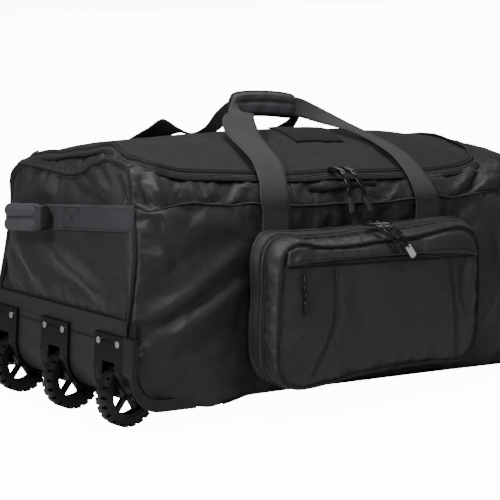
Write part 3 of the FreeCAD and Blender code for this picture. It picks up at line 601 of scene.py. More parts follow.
def settle(made, pressure, growth, cap, still=None):
    """a short cloth pass: the fabric, a little too big for its frame, fills out and buckles"""
    mesh = made.data
    rest = np.empty(len(mesh.vertices) * 3)
    mesh.vertices.foreach_get("co", rest)
    rest = rest.reshape(-1, 3)
    used = {}
    for polygon in mesh.polygons:
        for key in polygon.edge_keys:
            used[key] = used.get(key, 0) + 1
    held = {v for key, count in used.items() if count == 1 for v in key}
    if still is not None:
        held |= set(np.flatnonzero(still((rest - ORIGIN) @ TURN * 1000)).tolist())
    made.vertex_groups.new(name="held").add(sorted(held), 1.0, "REPLACE")
    cloth = made.modifiers.new("cloth", "CLOTH")
    cloth.settings.vertex_group_mass = "held"
    cloth.settings.quality = 4
    cloth.settings.mass = 0.3
    cloth.settings.tension_stiffness = cloth.settings.compression_stiffness = 15
    cloth.settings.shear_stiffness = 5
    cloth.settings.bending_stiffness = 0.3
    cloth.settings.use_pressure = True
    cloth.settings.uniform_pressure_force = pressure
    cloth.settings.shrink_min = -growth
    cloth.settings.effector_weights.gravity = 0
    cloth.collision_settings.use_collision = False
    cloth.point_cache.frame_start, cloth.point_cache.frame_end = 1, CLOTH_FRAMES
    for number in range(1, CLOTH_FRAMES + 1):
        bpy.context.scene.frame_set(number)
    solved = made.evaluated_get(bpy.context.evaluated_depsgraph_get())
    moved = np.empty(len(mesh.vertices) * 3)
    solved.data.vertices.foreach_get("co", moved)
    made.modifiers.remove(cloth)
    bpy.context.scene.frame_set(1)
    shift = moved.reshape(-1, 3) - rest
    far = np.linalg.norm(shift, axis=1, keepdims=True)
    shift *= cap / 1000 * np.tanh(far / (cap / 1000)) / np.maximum(far, 1e-9)
    mesh.vertices.foreach_set("co", (rest + shift).ravel())
    made.vertex_groups.clear()
    mesh.update()


STRAPS_AT = (246, 556)
POCKET_AT = (420, 132)


def under_straps(places):
    """the stretches of the shell that the sewn carry webbing holds flat"""
    along = places[..., 0]
    return (abs(along - STRAPS_AT[0]) < 33) | (abs(along - STRAPS_AT[1]) < 33)


def behind_pocket(places):
    """the part of the front that the pocket's lining covers"""
    return (abs(places[..., 0] - POCKET_AT[0]) < 205) & (abs(places[..., 2] - POCKET_AT[1]) < 100)


def still_front(places):
    return behind_pocket(places) | (under_straps(places) & (places[:, 2] > 225))


def flattened(sheet, share, depth):
    """the sheet with its y brought to a depth, by a share of the way at each place"""
    sheet[..., 1] = (1 - share) * sheet[..., 1] + share * depth


def settled(made, sheet):
    """where the first sheet of a piece lies after its cloth pass, in bag millimetres"""
    points = np.empty(len(made.data.vertices) * 3)
    made.data.vertices.foreach_get("co", points)
    first = points.reshape(-1, 3)[: sheet.shape[0] * sheet.shape[1]]
    return ((first - ORIGIN) @ TURN * 1000).reshape(sheet.shape)


def values_on(sheet, values, p, q, flat):
    """values given at a sheet's points, over places given along two axes"""
    points, values = sheet.reshape(-1, 3), values.reshape(-1, 3)
    p, q = np.broadcast_arrays(np.asarray(p, float), np.asarray(q, float))
    found = np.empty(p.shape + (3,))
    for k in np.ndindex(p.shape):
        gap = (points[:, flat[0]] - p[k]) ** 2 + (points[:, flat[1]] - q[k]) ** 2
        pick = gap.argpartition(4)[:4]
        weight = 1 / (gap[pick] + 0.5)
        found[k] = (weight @ values[pick]) / weight.sum()
    return found


def depth_on(sheet, p, q, flat, depth):
    """a sheet's coordinate along one axis, over places given along the other two"""
    return values_on(sheet, sheet, p, q, flat)[..., depth]


def frames(path, loop=False):
    """two directions square to a path that turn as little as they can"""
    if loop:
        tangent = np.roll(path, -1, 0) - np.roll(path, 1, 0)
    else:
        tangent = np.gradient(path, axis=0)
    tangent = unit(tangent)
    across = [unit(np.cross(tangent[0], (0.31, 0.12, 0.94)))]
    for t in tangent[1:]:
        across.append(unit(across[-1] - t * (across[-1] @ t)))
    across = np.array(across)
    return across, np.cross(tangent, across)


def between(start, finish, steps):
    """a straight path of evenly spaced points"""
    return np.linspace(np.array(start, float), np.array(finish, float), steps)


def strap(piece, left, right, thick=2.4, mark=0, steps=90, hem=None):
    """flat webbing between its two edge lines, with rounded edges"""
    share = np.linspace(0, 1, steps)
    a, b = curve(left)(share), curve(right)(share)
    centre, wide = (a + b) / 2, np.linalg.norm(b - a, axis=1)
    across = (b - a) / wide[:, None]
    up = unit(np.cross(across, np.gradient(centre, axis=0)))
    flat = np.linspace(-0.5, 0.5, 9)
    crown = 1 - 0.25 * (2 * flat) ** 2
    half = thick / 2
    profile = np.array([
        [*[(f * w, half * c) for f, c in zip(flat, crown)],
         (w / 2 + half * 0.6, 0.0),
         *[(f * w, -half * c) for f, c in zip(flat[::-1], crown)],
         (-w / 2 - half * 0.6, 0.0)] for w in wide
    ])
    piece.sweep(centre, across, up, profile, mark)
    if hem is not None:
        for side in (-1, 1):
            line = centre + across * (side * (wide / 2 - 3.2))[:, None]
            piece.stitches(line + up * half, up, mark=hem)
            piece.stitches(line - up * half, -up, mark=hem)


def box_stitch(piece, centre, right, up, wide, tall, out, mark, lift=1.4):
    """the sewn box and cross that holds a strap's end"""
    centre, right, up, out = (np.array(v, float) for v in (centre, right, up, out))
    corner = [centre + right * a * wide / 2 + up * b * tall / 2 + out * lift
              for a, b in ((-1, -1), (1, -1), (1, 1), (-1, 1))]
    for a, b in ((0, 1), (1, 2), (2, 3), (3, 0), (0, 2), (1, 3)):
        line = between(corner[a], corner[b], 20)
        piece.stitches(line, facing(out, 20), mark=mark)


# ---------------------------------------------------------------- the lines of the shell

# Points are in bag millimetres. Those on edges that the photograph shows were picked on it,
# turned into millimetres through the fitted camera, then rounded and adjusted. The rest are guesses.
MIDDLE = (400, 0, 170)

corner_front = [
    (55, -199, 1), (28, -198, 7), (10, -196, 22), (1, -190, 48), (0, -182, 78), (0, -178, 103),
    (0, -183, 125), (0, -190, 167), (0, -194, 205), (0, -193, 239), (0, -187, 264), (0, -180, 287),
]
riser_front = [(0, -180, 287), (0, -177, 305), (0, -173, 322), (1, -168, 337)]
end_top = [
    (1, -168, 337), (0, -157, 343), (0, -138, 345), (0, -115, 346), (0, -98, 341), (0, -77, 334),
    (0, -57, 324), (0, -36, 318), (0, -9, 316), (0, 32, 318), (0, 90, 320), (0, 116, 319),
    (1, 130, 312),
]
riser_back = [(0, 141, 293), (0, 138, 303), (1, 130, 312)]
corner_back = [
    (55, 199, 1), (28, 198, 7), (10, 196, 22), (1, 190, 48), (0, 182, 75), (0, 175, 100),
    (0, 168, 125), (0, 156, 166), (0, 147, 205), (0, 140, 240), (0, 138, 265), (0, 141, 293),
]
bottom_front = [
    (55, -199, 1), (85, -201, -4), (112, -203, -10), (135, -204, -13), (160, -203, -10),
    (185, -203, -5), (204, -202, -1), (242, -201, 0), (400, -201, 1), (600, -201, 2),
    (740, -201, 2), (797, -197, 2),
]
bottom_back = [(x, -y, z) for x, y, z in bottom_front]
seam_front = [
    (0, -180, 287), (9, -190, 283), (17, -196, 281), (25, -200, 282), (51, -203, 287),
    (86, -203, 290), (122, -203, 287), (155, -203, 285), (190, -203, 286), (225, -203, 284),
    (293, -203, 279), (372, -203, 280), (454, -203, 279), (528, -203, 283), (570, -203, 285),
    (616, -203, 282), (650, -203, 286), (700, -202, 290), (750, -200, 291), (785, -196, 292),
    (798, -188, 292),
]
far_front = [
    (797, -197, 2), (800, -199, 50), (800, -199, 110), (799, -197, 180), (799, -194, 240),
    (798, -188, 292),
]
far_back = [(x, -y, z) for x, y, z in far_front]
far_riser_front = [(798, -188, 292), (799, -180, 312), (799, -168, 326)]
far_riser_back = [(x, -y, z) for x, y, z in far_riser_front]
far_top = [
    (799, -168, 326), (800, -150, 332), (801, -120, 337), (801, -90, 343), (800, -50, 346),
    (800, 0, 347), (800, 50, 346), (800, 90, 343), (801, 120, 337), (800, 150, 332),
    (799, 168, 326),
]
seam_back = [
    (0, 141, 293), (5, 155, 288), (18, 172, 284), (40, 188, 283), (70, 199, 284), (110, 202, 285),
    (250, 202, 284), (400, 202, 283), (600, 202, 284), (740, 201, 287), (785, 196, 291),
    (798, 188, 292),
]

zip_front = [
    (22, -158, 342), (27, -170, 340), (38, -177, 337), (57, -180, 332), (84, -180, 327),
    (120, -180, 325), (166, -180, 323), (232, -180, 320), (310, -180, 318), (369, -180, 320),
    (400, -180, 319), (452, -180, 318), (515, -180, 318), (572, -180, 317), (613, -180, 320),
    (645, -179, 323), (674, -175, 328), (692, -167, 333), (700, -158, 336),
]
zip_near = [
    (22, -158, 342), (20, -140, 344), (21, -121, 346), (22, -103, 355), (22, -82, 359),
    (22, -65, 355), (22, -31, 348), (22, 1, 344), (22, 42, 336), (22, 81, 333), (23, 105, 329),
    (26, 128, 325), (34, 148, 323), (48, 160, 326),
]
zip_far = [
    (700, -158, 336), (716, -137, 341), (729, -112, 346), (741, -82, 349), (747, -52, 353),
    (748, -25, 357), (748, 10, 357), (748, 50, 352), (747, 100, 343), (745, 140, 333),
    (742, 168, 328),
]
hinge_line = [
    (48, 160, 326), (80, 169, 327), (120, 173, 328), (250, 173, 328), (400, 173, 328),
    (600, 173, 328), (700, 173, 328), (742, 168, 328),
]


def chain(*parts):
    """lines joined end to end, without their shared points"""
    joined = [parts[0][0]]
    for part in parts:
        joined += [p for p in part if tuple(p) != tuple(joined[-1])]
    return joined


# ---------------------------------------------------------------- front, back and ends

front = coons(
    curve(bottom_front), curve(seam_front), curve(corner_front), curve(far_front),
    161, 61, near=22, far=9,
)
out = faces_out(front, MIDDLE)
soft = edge_fade(front)
free = np.clip((210 - front[..., 0]) / 70, 0, 1) + np.clip((front[..., 0] - 630) / 60, 0, 1)
front[..., 1] -= (2.0 + 11.0 * free) * dome(front, 0.3, 0.75)
push(front, out, soft * (
    1.6 * ripple(front, 130, 11, (1.6, 1, 1)) + 0.7 * ripple(front, 45, 12, (1.3, 1, 1))
    + folds(front, [
        ([(8, -206, 118), (60, -210, 150), (120, -210, 190), (196, -208, 236)], 8.0, 11),
        ([(10, -206, 100), (70, -210, 132), (130, -210, 164), (196, -208, 206)], -6.0, 10),
        ([(8, -206, 84), (60, -210, 106), (120, -210, 134), (190, -208, 176)], 7.5, 10),
        ([(16, -206, 66), (70, -210, 76), (130, -210, 96), (190, -208, 124)], -6.0, 13),
        ([(20, -206, 14), (44, -210, 54), (66, -210, 108), (84, -210, 152)], 5.5, 9),
        ([(20, -206, 150), (60, -210, 200), (110, -210, 222), (150, -208, 232)], -5.0, 15),
        ([(25, -202, 278), (36, -208, 240), (64, -210, 196)], -7.0, 8),
        ([(40, -204, 280), (96, -208, 262), (160, -208, 250)], 4.0, 13),
        ([(150, -208, 40), (176, -208, 110), (186, -207, 190)], -4.0, 12),
        ([(655, -208, 60), (700, -210, 120), (740, -209, 200), (770, -204, 260)], 8.0, 15),
        ([(660, -208, 270), (700, -210, 220), (712, -209, 160), (705, -205, 90)], -7.0, 13),
    ])
))
covered = np.minimum(208 - abs(front[..., 0] - POCKET_AT[0]), 104 - abs(front[..., 2] - POCKET_AT[1]))
flattened(front, np.clip(covered / 12, 0, 1), -200.4)
Piece("front_skin", body_cloth).sheet(front, 0, MIDDLE).make(
    "bag_body", "body_fabric", ["front_panel"], thick=FABRIC,
    cloth=(3, 0.03, 9, still_front))

back = coons(
    curve(bottom_back), curve(seam_back), curve(corner_back), curve(far_back),
    121, 51, near=7, far=9,
)
out = faces_out(back, MIDDLE)
soft = edge_fade(back)
back[..., 1] += 2.0 * dome(back, 0.5, 0.7)
push(back, out, soft * (
    2.0 * ripple(back, 150, 21, (1.6, 1, 1)) + 0.8 * ripple(back, 50, 22)
    + folds(back, [
        ([(30, 170, 60), (120, 200, 110), (210, 202, 190)], 4, 13),
        ([(300, 202, 40), (380, 202, 120), (430, 202, 220)], -3, 16),
        ([(770, 200, 40), (700, 202, 110), (620, 202, 210)], 4, 14),
    ])
))
covered = np.maximum(40 - abs(back[..., 0] - 246), 40 - abs(back[..., 0] - 555))
flattened(back, np.clip(covered / 12, 0, 1) * np.clip((back[..., 2] - 6) / 12, 0, 1), 201.6)
Piece("back_skin", body_cloth).sheet(back, 0, MIDDLE).make(
    "bag_body", "body_fabric", ["back_panel"], thick=FABRIC, cloth=(3, 0.02, 7, under_straps))

base = coons(
    curve([(107, -203, -9)] + bottom_front[3:]), curve([(107, 203, -9)] + bottom_back[3:]),
    curve([(107, -203, -9), (108, -175, 1), (108, 0, 1), (108, 175, 1), (107, 203, -9)]),
    curve([(797, -197, 2), (797, 0, 2), (797, 197, 2)]), 101, 61, near=14,
)
hang = np.clip((base[..., 1] ** 2 / 200 ** 2 - 0.8) / 0.2, 0, 1) ** 0.7
base[..., 2] = np.where(base[..., 0] < 260, hang * base[..., 2] + (1 - hang) * 1.0, base[..., 2])
base[..., 2] += edge_fade(base) * 0.8 * ripple(base, 90, 31)
Piece("base_skin", base_cloth).sheet(base, 0, MIDDLE).make(
    "bag_body", "body_fabric", ["base_panel"], thick=2)

end = coons(
    curve([(3, -179, 106), (3, -60, 106), (3, 60, 106), (3, 176, 106)]), curve(end_top),
    curve([(3, -179, 106), (2, -181, 114)] + corner_front[6:] + riser_front[1:]),
    curve([(3, 176, 106), (2, 172, 114)] + corner_back[6:] + riser_back[1:]), 71, 61, near=9, far=9,
)
out = faces_out(end, MIDDLE)
above = np.clip((end[..., 2] - 120) / 22, 0, 1)
soft = edge_fade(end) * above
end[..., 0] -= 7.0 * dome(end, 0.5, 0.6) * above
push(end, out, soft * (
    1.2 * ripple(end, 90, 41) + 0.6 * ripple(end, 34, 42)
    + folds(end, [
        ([(-4, 18, 205), (-4, -30, 190), (-4, -90, 165), (-4, -160, 128)], 8.5, 13),
        ([(-4, 28, 170), (-4, -40, 160), (-4, -100, 142), (-4, -150, 122)], -5.8, 11),
        ([(-4, 100, 200), (-4, 60, 165), (-4, 20, 140)], 5.8, 12),
        ([(-4, -150, 330), (-4, -158, 300), (-4, -150, 268)], -5.1, 8),
        ([(-4, -90, 330), (-4, -110, 312), (-4, -136, 296)], 5.1, 9),
        ([(-4, -20, 308), (-4, -60, 296), (-4, -120, 290)], -4.1, 9),
        ([(-4, 60, 312), (-4, 40, 292), (-4, 0, 282)], 4.4, 10),
        ([(-4, 110, 310), (-4, 104, 290), (-4, 112, 262)], -5.1, 9),
    ])
))
wheel_end_skin = Piece("wheel_end_skin", body_cloth).sheet(end, 0, MIDDLE).make(
    "bag_body", "body_fabric", ["wheel_end_panel"], thick=FABRIC,
    cloth=(3, 0.03, 7, lambda p: p[:, 2] < 124))
end = settled(wheel_end_skin, end)

far = coons(
    curve([(797, -197, 2), (797, 0, 2), (797, 197, 2)]), curve(far_top),
    curve(chain(far_front, far_riser_front)), curve(chain(far_back, far_riser_back)),
    61, 61, near=9, far=9,
)
out = faces_out(far, MIDDLE)
far[..., 0] += 7.0 * dome(far, 0.5, 0.6)
push(far, out, edge_fade(far) * (
    1.8 * ripple(far, 110, 51) + 0.7 * ripple(far, 40, 52)
    + folds(far, [
        ([(805, -150, 40), (805, -60, 120), (805, 20, 160)], 4, 13),
        ([(805, 150, 60), (805, 80, 140), (805, 30, 170)], -3, 12),
    ])
))
far_end_skin = Piece("far_end_skin", body_cloth).sheet(far, 0, MIDDLE).make(
    "bag_body", "body_fabric", ["far_end_panel"], thick=FABRIC, cloth=(3, 0.03, 8))
far = settled(far_end_skin, far)

# ---------------------------------------------------------------- the border round the zip

border = Piece("border_skin", body_cloth)
UNDER_LID = (400, 0, 250)
near_lip = [(1, -168, 337), (10, -164, 342), (22, -158, 342)]
back_lip = [(1, 130, 312), (18, 147, 321), (48, 160, 326)]
far_lip = [(799, -168, 326), (750, -168, 336), (700, -158, 336)]
far_back_lip = [(799, 168, 326), (775, 170, 330), (742, 168, 328)]

border_front = coons(
    curve(seam_front), curve(zip_front), curve(chain(riser_front, near_lip)),
    curve(chain(far_riser_front, far_lip)), 201, 25, near=14, far=5,
)
out = faces_out(border_front, UNDER_LID)
push(border_front, out, 5.5 * dome(border_front, 0.25, 0.8))
push(border_front, out, edge_fade(border_front, 3) * (
    0.9 * ripple(border_front, 60, 61, (1.4, 1, 1)) + 0.8 * ripple(border_front, 26, 62)
    + folds(border_front, [
        ([(6, -186, 334), (12, -196, 306), (24, -200, 280)], -9, 6),
        ([(30, -180, 336), (34, -200, 306), (40, -202, 286)], 3.5, 9),
        ([(700, -160, 334), (668, -196, 308), (628, -203, 284)], -12, 7),
        ([(668, -174, 328), (640, -196, 306), (606, -203, 290)], 5, 10),
        ([(736, -172, 334), (712, -198, 312), (668, -203, 292)], 8.0, 13),
        ([(180, -190, 316), (160, -203, 302), (120, -203, 292)], -3, 8),
        ([(290, -190, 312), (330, -203, 298), (380, -203, 290)], -3, 8),
        ([(500, -188, 318), (480, -203, 300), (440, -203, 288)], -3, 8),
    ])
))
border.sheet(border_front, 0, UNDER_LID)

border_near = coons(
    curve(end_top), curve(zip_near), curve(near_lip), curve(back_lip), 91, 11,
    near=6, far=6,
)
out = faces_out(border_near, UNDER_LID)
push(border_near, out, dome(border_near, 0.3, 0.8))
border.sheet(border_near, 0, UNDER_LID)

border_far = coons(
    curve(far_top), curve(zip_far), curve(far_lip), curve(far_back_lip), 81, 21,
    near=6, far=6,
)
out = faces_out(border_far, UNDER_LID)
push(border_far, out, 5.0 * dome(border_far, 0.3, 0.8) * (1 + 0.25 * ripple(border_far, 40, 64)))
border.sheet(border_far, 0, UNDER_LID)

border_back = coons(
    curve(seam_back), curve(hinge_line), curve(chain(riser_back, back_lip)),
    curve(chain(far_riser_back, far_back_lip)), 161, 21, near=14, far=9,
)
out = faces_out(border_back, UNDER_LID)
push(border_back, out, 4.5 * dome(border_back, 0.25, 0.8)
     + edge_fade(border_back, 3) * ripple(border_back, 60, 63, (1.4, 1, 1)))
border.sheet(border_back, 0, UNDER_LID)
border_skin = border.make(
    "bag_body", "body_fabric", ["top_border"], thick=FABRIC, cloth=(3, 0.03, 3, under_straps))
border_front = settled(border_skin, border_front)

# ---------------------------------------------------------------- lid

lid = coons(
    curve(zip_front), curve(hinge_line), curve(zip_near), curve(zip_far), 161, 91,
    near=2.2, far=3.0,
)
LID_MIDDLE = (400, 0, 100)
LID_BEND = ("bag_body", "lid", (400, 181, 328), (400, 160, 328))
RIDGE_ROW = 50
crown_along = np.clip(np.sin(np.pi * np.linspace(0, 1, 161)), 0, 1) ** 0.28
crown_over = np.clip(np.sin(np.pi * np.linspace(0, 1, 91) ** 0.97), 0, 1) ** 0.85
crown = crown_along[:, None] * crown_over[None, :]


def lid_top(x):
    """height of the lid's ridge, measured along the bag"""
    return np.interp(x, [22, 60, 110, 200, 320, 430, 550, 640, 700, 748],
                     [345, 353, 360, 366, 372, 376, 376, 370, 364, 359])


ridge = lid[:, RIDGE_ROW]
rise = np.maximum(lid_top(ridge[:, 0]) - ridge[:, 2], 0) / crown_along.clip(0.3)
lid[..., 2] += crown * rise[:, None]
out = faces_out(lid, LID_MIDDLE)
push(lid, out, edge_fade(lid, 3) * (
    1.5 * ripple(lid, 170, 71, (1.8, 1, 1)) + 0.6 * ripple(lid, 55, 72)
    + folds(lid, [
        ([(60, -170, 336), (100, -120, 352), (120, -60, 362)], 2.5, 16),
        ([(300, -170, 330), (340, -120, 352), (350, -40, 372)], -2, 18),
        ([(700, -150, 350), (660, -90, 366), (620, -20, 376)], 2.5, 18),
    ])
))
lid_skin = Piece("lid_skin", lid_cloth).sheet(lid, 0, LID_MIDDLE).make(
    None, "body_fabric", ["lid_panel"], bend=LID_BEND,
    thick=FABRIC, cloth=(2, 0.012, 2))
lid = settled(lid_skin, lid)


def on_lid(x, y):
    """the lid's surface and its outward direction over places"""
    places = np.stack([x, y, depth_on(lid, x, y, (0, 1), 2)], -1)
    return places, values_on(lid, faces_out(lid, LID_MIDDLE), x, y, (0, 1))


# the badge sewn on the lid: plain ribbed cloth, with nothing on it
badge = Piece("lid_badge", badge_cloth, binding)
gu, gv = np.meshgrid(np.linspace(0, 1, 31), np.linspace(0, 1, 23), indexing="ij")
spot, way = on_lid(372 + 98 * gu + 20 * gv * gu + 19 * gv, -92 + 98 * gv)
rim = np.minimum(np.minimum(gu, 1 - gu) * 14, np.minimum(gv, 1 - gv) * 11).clip(0, 1)
spot = spot + way * (2.2 + 1.4 * rim ** 0.5)[..., None]
badge.sheet(spot, 0, LID_MIDDLE)
badge.make("lid", "patch", ["lid_patch"], thick=1.5)

# ---------------------------------------------------------------- a plain tab under the sliders

tab_run = curve([(316, -201, 303), (350, -202, 302), (400, -202, 305), (452, -201, 307)])
tab_path = tab_run(np.linspace(0, 1, 40))
tab_depth = depth_on(border_front, tab_path[:, 0], tab_path[:, 2], (0, 2), 1)
tab_path[:, 1] = np.polyval(np.polyfit(tab_path[:, 0], tab_depth, 3), tab_path[:, 0]) - 2.4
tab = Piece("zip_tab", dark_binding)
tab.sweep(tab_path, facing((0, 0, 1), 40), facing((0, -1, 0), 40),
          [(-5, -1), (-5, 0.6), (0, 0.9), (5, 0.6), (5, -1), (0, -1)])
tab.make("bag_body", "webbing")

# ---------------------------------------------------------------- main zip

def zip_track():
    """the zip line's points from the near back corner round to the far one, and its directions"""
    near = curve(zip_near)(np.linspace(1, 0, 100))
    front_run = curve(zip_front)(np.linspace(0, 1, 240))
    far_run = curve(zip_far)(np.linspace(0, 1, 110))
    path = np.concatenate([near, front_run[1:], far_run[1:]])
    smooth = curve(path[::6])
    path = smooth(np.linspace(0, 1, 560))
    tangent = unit(np.gradient(path, axis=0))
    centre = np.array([390, 0, 0]) + np.stack(
        [np.clip(path[:, 0] - 390, -220, 220), np.zeros(560), np.zeros(560)], -1)
    inward = centre - path
    inward[:, 2] = 0
    inward = unit(inward)
    across = inward + np.array([0, 0, 0.75])
    across = unit(across - tangent * (across * tangent).sum(1, keepdims=True))
    up = np.cross(tangent, across)
    up *= np.sign((up * (np.array([0, 0, 1.0]) - inward)).sum(1, keepdims=True))
    return path, across, up


track, track_in, track_up = zip_track()


def bead(radius, at, lift, count=10):
    """the round section of a piped edge"""
    turns = np.linspace(0, 2 * np.pi, count, endpoint=False)
    return [(at + radius * math.cos(t), lift + radius * math.sin(t)) for t in turns]


def tape(low, high, lift, thick):
    """the flat section of a zip's tape"""
    return [(low, lift), (low, lift + thick), ((low + high) / 2, lift + thick * 1.3),
            (high, lift + thick), (high, lift), ((low + high) / 2, lift)]


def coil(piece, path, across, up, at, lift, mark, pitch=2.6, radius=1.15):
    """one side of a coil zip: a fat thread whose turns stand up one by one"""
    run = run_along(path)
    places = np.arange(0, run[-1], pitch / 4)
    base, a, n = (read_off(places, run, v) for v in (path, across, up))
    swell = radius * (0.62 + 0.38 * np.cos(places / pitch * 2 * np.pi))
    turns = np.linspace(0, 2 * np.pi, 6, endpoint=False)
    ring = np.stack([np.cos(turns), np.sin(turns)], -1)
    profile = swell[:, None, None] * ring[None] + np.array([at, lift])
    piece.sweep(base, a, n, profile, mark)


zip_lid = Piece("main_zip_lid", zip_cloth, coil_plastic, binding)
zip_lid.sweep(track, track_in, track_up, tape(0.6, 9.5, 1.2, 1.2), 0)
coil(zip_lid, track, track_in, track_up, 1.4, 2.6, 1)
zip_lid.sweep(track, track_in, track_up, bead(2.0, 8.2, 2.6), 2)
zip_lid.sweep(track, track_in, track_up, bead(1.7, 12.6, 2.2), 2)
zip_lid.make("lid", "zip", ["main_zip_lid_tape"])

zip_body = Piece("main_zip_body", zip_cloth, coil_plastic, dark_binding)
zip_body.sweep(track, track_in, track_up, tape(-9.5, -0.6, 1.0, 1.2), 0)
coil(zip_body, track, track_in, track_up, -1.4, 2.4, 1)
zip_body.sweep(track, track_in, track_up, bead(1.8, -9.0, 2.2), 2)
zip_body.make("bag_body", "zip", ["main_zip_body_tape"])

# ---------------------------------------------------------------- piping and seams of the shell

piping = Piece("body_piping", binding)
near_front = curve(chain(corner_front[4:], riser_front, end_top, riser_back[::-1][1:],
                           corner_back[::-1][1:8]))
near_loop = near_front(np.linspace(0, 1, 260))
piping.tube(near_loop + np.array([-1.2, 0, 0.6]), 2.7)
towards = np.array([0, -5, 215]) - near_loop
towards[:, 0] = 0
piping.tube(near_loop + unit(towards) * 7.0 + np.array([-1.4, 0, 0]), 1.7)
far_loop = curve(chain(far_front, far_riser_front, far_top, far_riser_back[::-1],
                         far_back[::-1]))(np.linspace(0, 1, 260))
piping.tube(far_loop + np.array([1.4, 0, 0.6]), 2.7)
piping.tube(curve(bottom_front[4:])(np.linspace(0, 1, 120)) + np.array([0, -0.6, 0]), 2.0)
piping.tube(curve(bottom_back[4:])(np.linspace(0, 1, 120)) + np.array([0, 0.6, 0]), 2.0)
piping.make("bag_body", "body_fabric")

seams = Piece("shell_seams", body_cloth, thread_cloth)
for rail, side in ((seam_front, -1), (seam_back, 1)):
    line = curve(rail)(np.linspace(0, 1, 260))
    wobble = 0.9 * ripple(line, 26, 81 + side)
    hem = line + np.stack([0 * wobble, side * (1 + 0.4 * wobble), wobble], -1)
    from_end = np.linspace(0, 1, 260)
    fat = 2.1 * np.clip(np.minimum(from_end, 1 - from_end) / 0.06, 0.2, 1)
    seams.tube(hem, fat, squash=0.8)
    seams.stitches(line + np.array([0, side * 3.4, -5.5]), facing((0, side, 0), 260), mark=1)
seams.make("bag_body", "body_fabric")

# ---------------------------------------------------------------- pocket

SIDE_STEPS = (40, 70, 40, 70)
ring_back = [
    [(222, 30), (209, 50), (201, 80), (199, 110), (200, 150), (194, 202), (199, 224), (204, 232)],
    [(204, 232), (212, 240), (224, 244), (274, 243), (353, 243), (435, 244), (562, 250),
     (605, 250), (628, 243)],
    [(628, 243), (637, 230), (640, 210), (641, 150), (640, 80), (636, 50), (628, 35)],
    [(628, 35), (615, 26), (590, 22), (500, 20), (380, 19), (290, 19), (245, 20), (222, 30)],
]
ring_front = [
    [(219, 28), (208, 45), (205, 65), (204, 107), (204, 151), (205, 195), (208, 217), (216, 227)],
    [(216, 227), (228, 232), (243, 233), (278, 227), (337, 226), (387, 230), (438, 232),
     (479, 236), (521, 242), (553, 246), (575, 243), (592, 235)],
    [(592, 235), (601, 223), (605, 205), (611, 125), (612, 77), (608, 50), (599, 41)],
    [(599, 41), (588, 36), (569, 32), (515, 34), (455, 34), (389, 30), (315, 21), (255, 16),
     (235, 19), (219, 28)],
]


def ring_points(sides, depth):
    """one closed outline from its four sides, at a depth"""
    runs = []
    for side, steps in zip(sides, SIDE_STEPS):
        line = curve([(x, depth, z) for x, z in side])
        runs.append(line(np.linspace(0, 1, steps, endpoint=False)))
    return np.concatenate(runs)


def ring_sheet(sides, depth, nu, nv):
    """a flat sheet that fills the outline"""
    left, top, right, bottom = ([(x, depth, z) for x, z in side] for side in sides)
    return coons(curve(bottom[::-1]), curve(top), curve(left), curve(right[::-1]), nu, nv)


def away(points):
    """directions away from the pocket's middle, level with its face"""
    out = points - np.array([415, 0, 132])
    out[..., 1] = 0
    return unit(out)


WALL, ZIP_AT, FACE = -203, -239.5, -270
wall_ring, face_ring = ring_points(ring_back, WALL), ring_points(ring_front, FACE)


def pocket_ring(depth):
    """the pocket's outline at a depth, swollen a little between the wall and the face"""
    share = (depth - WALL) / (FACE - WALL)
    ring = (1 - share) * wall_ring + share * face_ring
    ring = ring + away(ring) * 4.5 * math.sin(math.pi * min(max(share, 0), 1))
    ring[:, 1] = depth
    return ring


POCKET_MIDDLE = (415, -236, 132)
depths = np.linspace(WALL + 2, ZIP_AT + 3, 11)
sides = np.stack([pocket_ring(d) for d in depths], 1)
wave = ripple(sides, 50, 91)
out = away(sides)
swell = np.sin(np.pi * np.linspace(0, 1, 11)) ** 0.7
sides = sides + out * ((1.2 * wave + 2.2) * swell[None, :])[..., None]
pocket_sides = Piece("pocket_sides", pocket_cloth, thread_cloth)
pocket_sides.sheet(sides, 0, POCKET_MIDDLE, loop=True)
pocket_sides.tube(pocket_ring(WALL + 1.5), 2.2, 0, loop=True)
pocket_sides.tube(pocket_ring(WALL - 13) + out[:, 5] * 2.2, 1.6, 0, loop=True)
pocket_sides.make("bag_body", "pocket_fabric", ["pocket_gusset"], thick=2)

Piece("pocket_wall", lining).sheet(ring_sheet(ring_back, WALL - 0.4, 41, 31), 0, MIDDLE).make(
    "bag_body", "pocket_fabric", ["pocket_backing"], thick=1.2)

POCKET_BEND = ("bag_body", "pocket_door", (415, FACE, 36), (415, FACE, 58))
ring_in = pocket_ring(ZIP_AT)
ring_out = away(ring_in)
ahead = facing((0, -1, 0), len(ring_in))


def ring_sweep(piece, low, high, lift, thick, mark):
    profile = [(low, lift), (low, lift + thick), (high, lift + thick), (high, lift)]
    piece.sweep(ring_in, ahead, ring_out, profile, mark, loop=True)


def ring_coil(piece, at, lift, mark):
    closed = np.concatenate([ring_in, ring_in[:1]])
    coil(piece, closed, facing((0, -1, 0), len(closed)),
         np.concatenate([ring_out, ring_out[:1]]), at, lift, mark)


zip_inner = Piece("pocket_zip_body", zip_cloth, coil_plastic, binding)
ring_sweep(zip_inner, -5.5, -0.5, 0.4, 1.2, 0)
ring_coil(zip_inner, -1.2, 1.9, 1)
zip_inner.tube(pocket_ring(ZIP_AT + 5.5) + ring_out * 1.0, 1.9, 2, loop=True)
zip_inner.make("bag_body", "zip", ["pocket_zip_body_tape"])

zip_outer = Piece("pocket_zip_door", zip_cloth, coil_plastic, binding)
ring_sweep(zip_outer, 0.5, 5.5, 0.4, 1.2, 0)
ring_coil(zip_outer, 1.2, 1.9, 1)
zip_outer.tube(pocket_ring(ZIP_AT - 6) + ring_out * 1.0, 1.9, 2, loop=True)
zip_outer.make(None, "zip", ["pocket_zip_door_tape"], bend=POCKET_BEND)

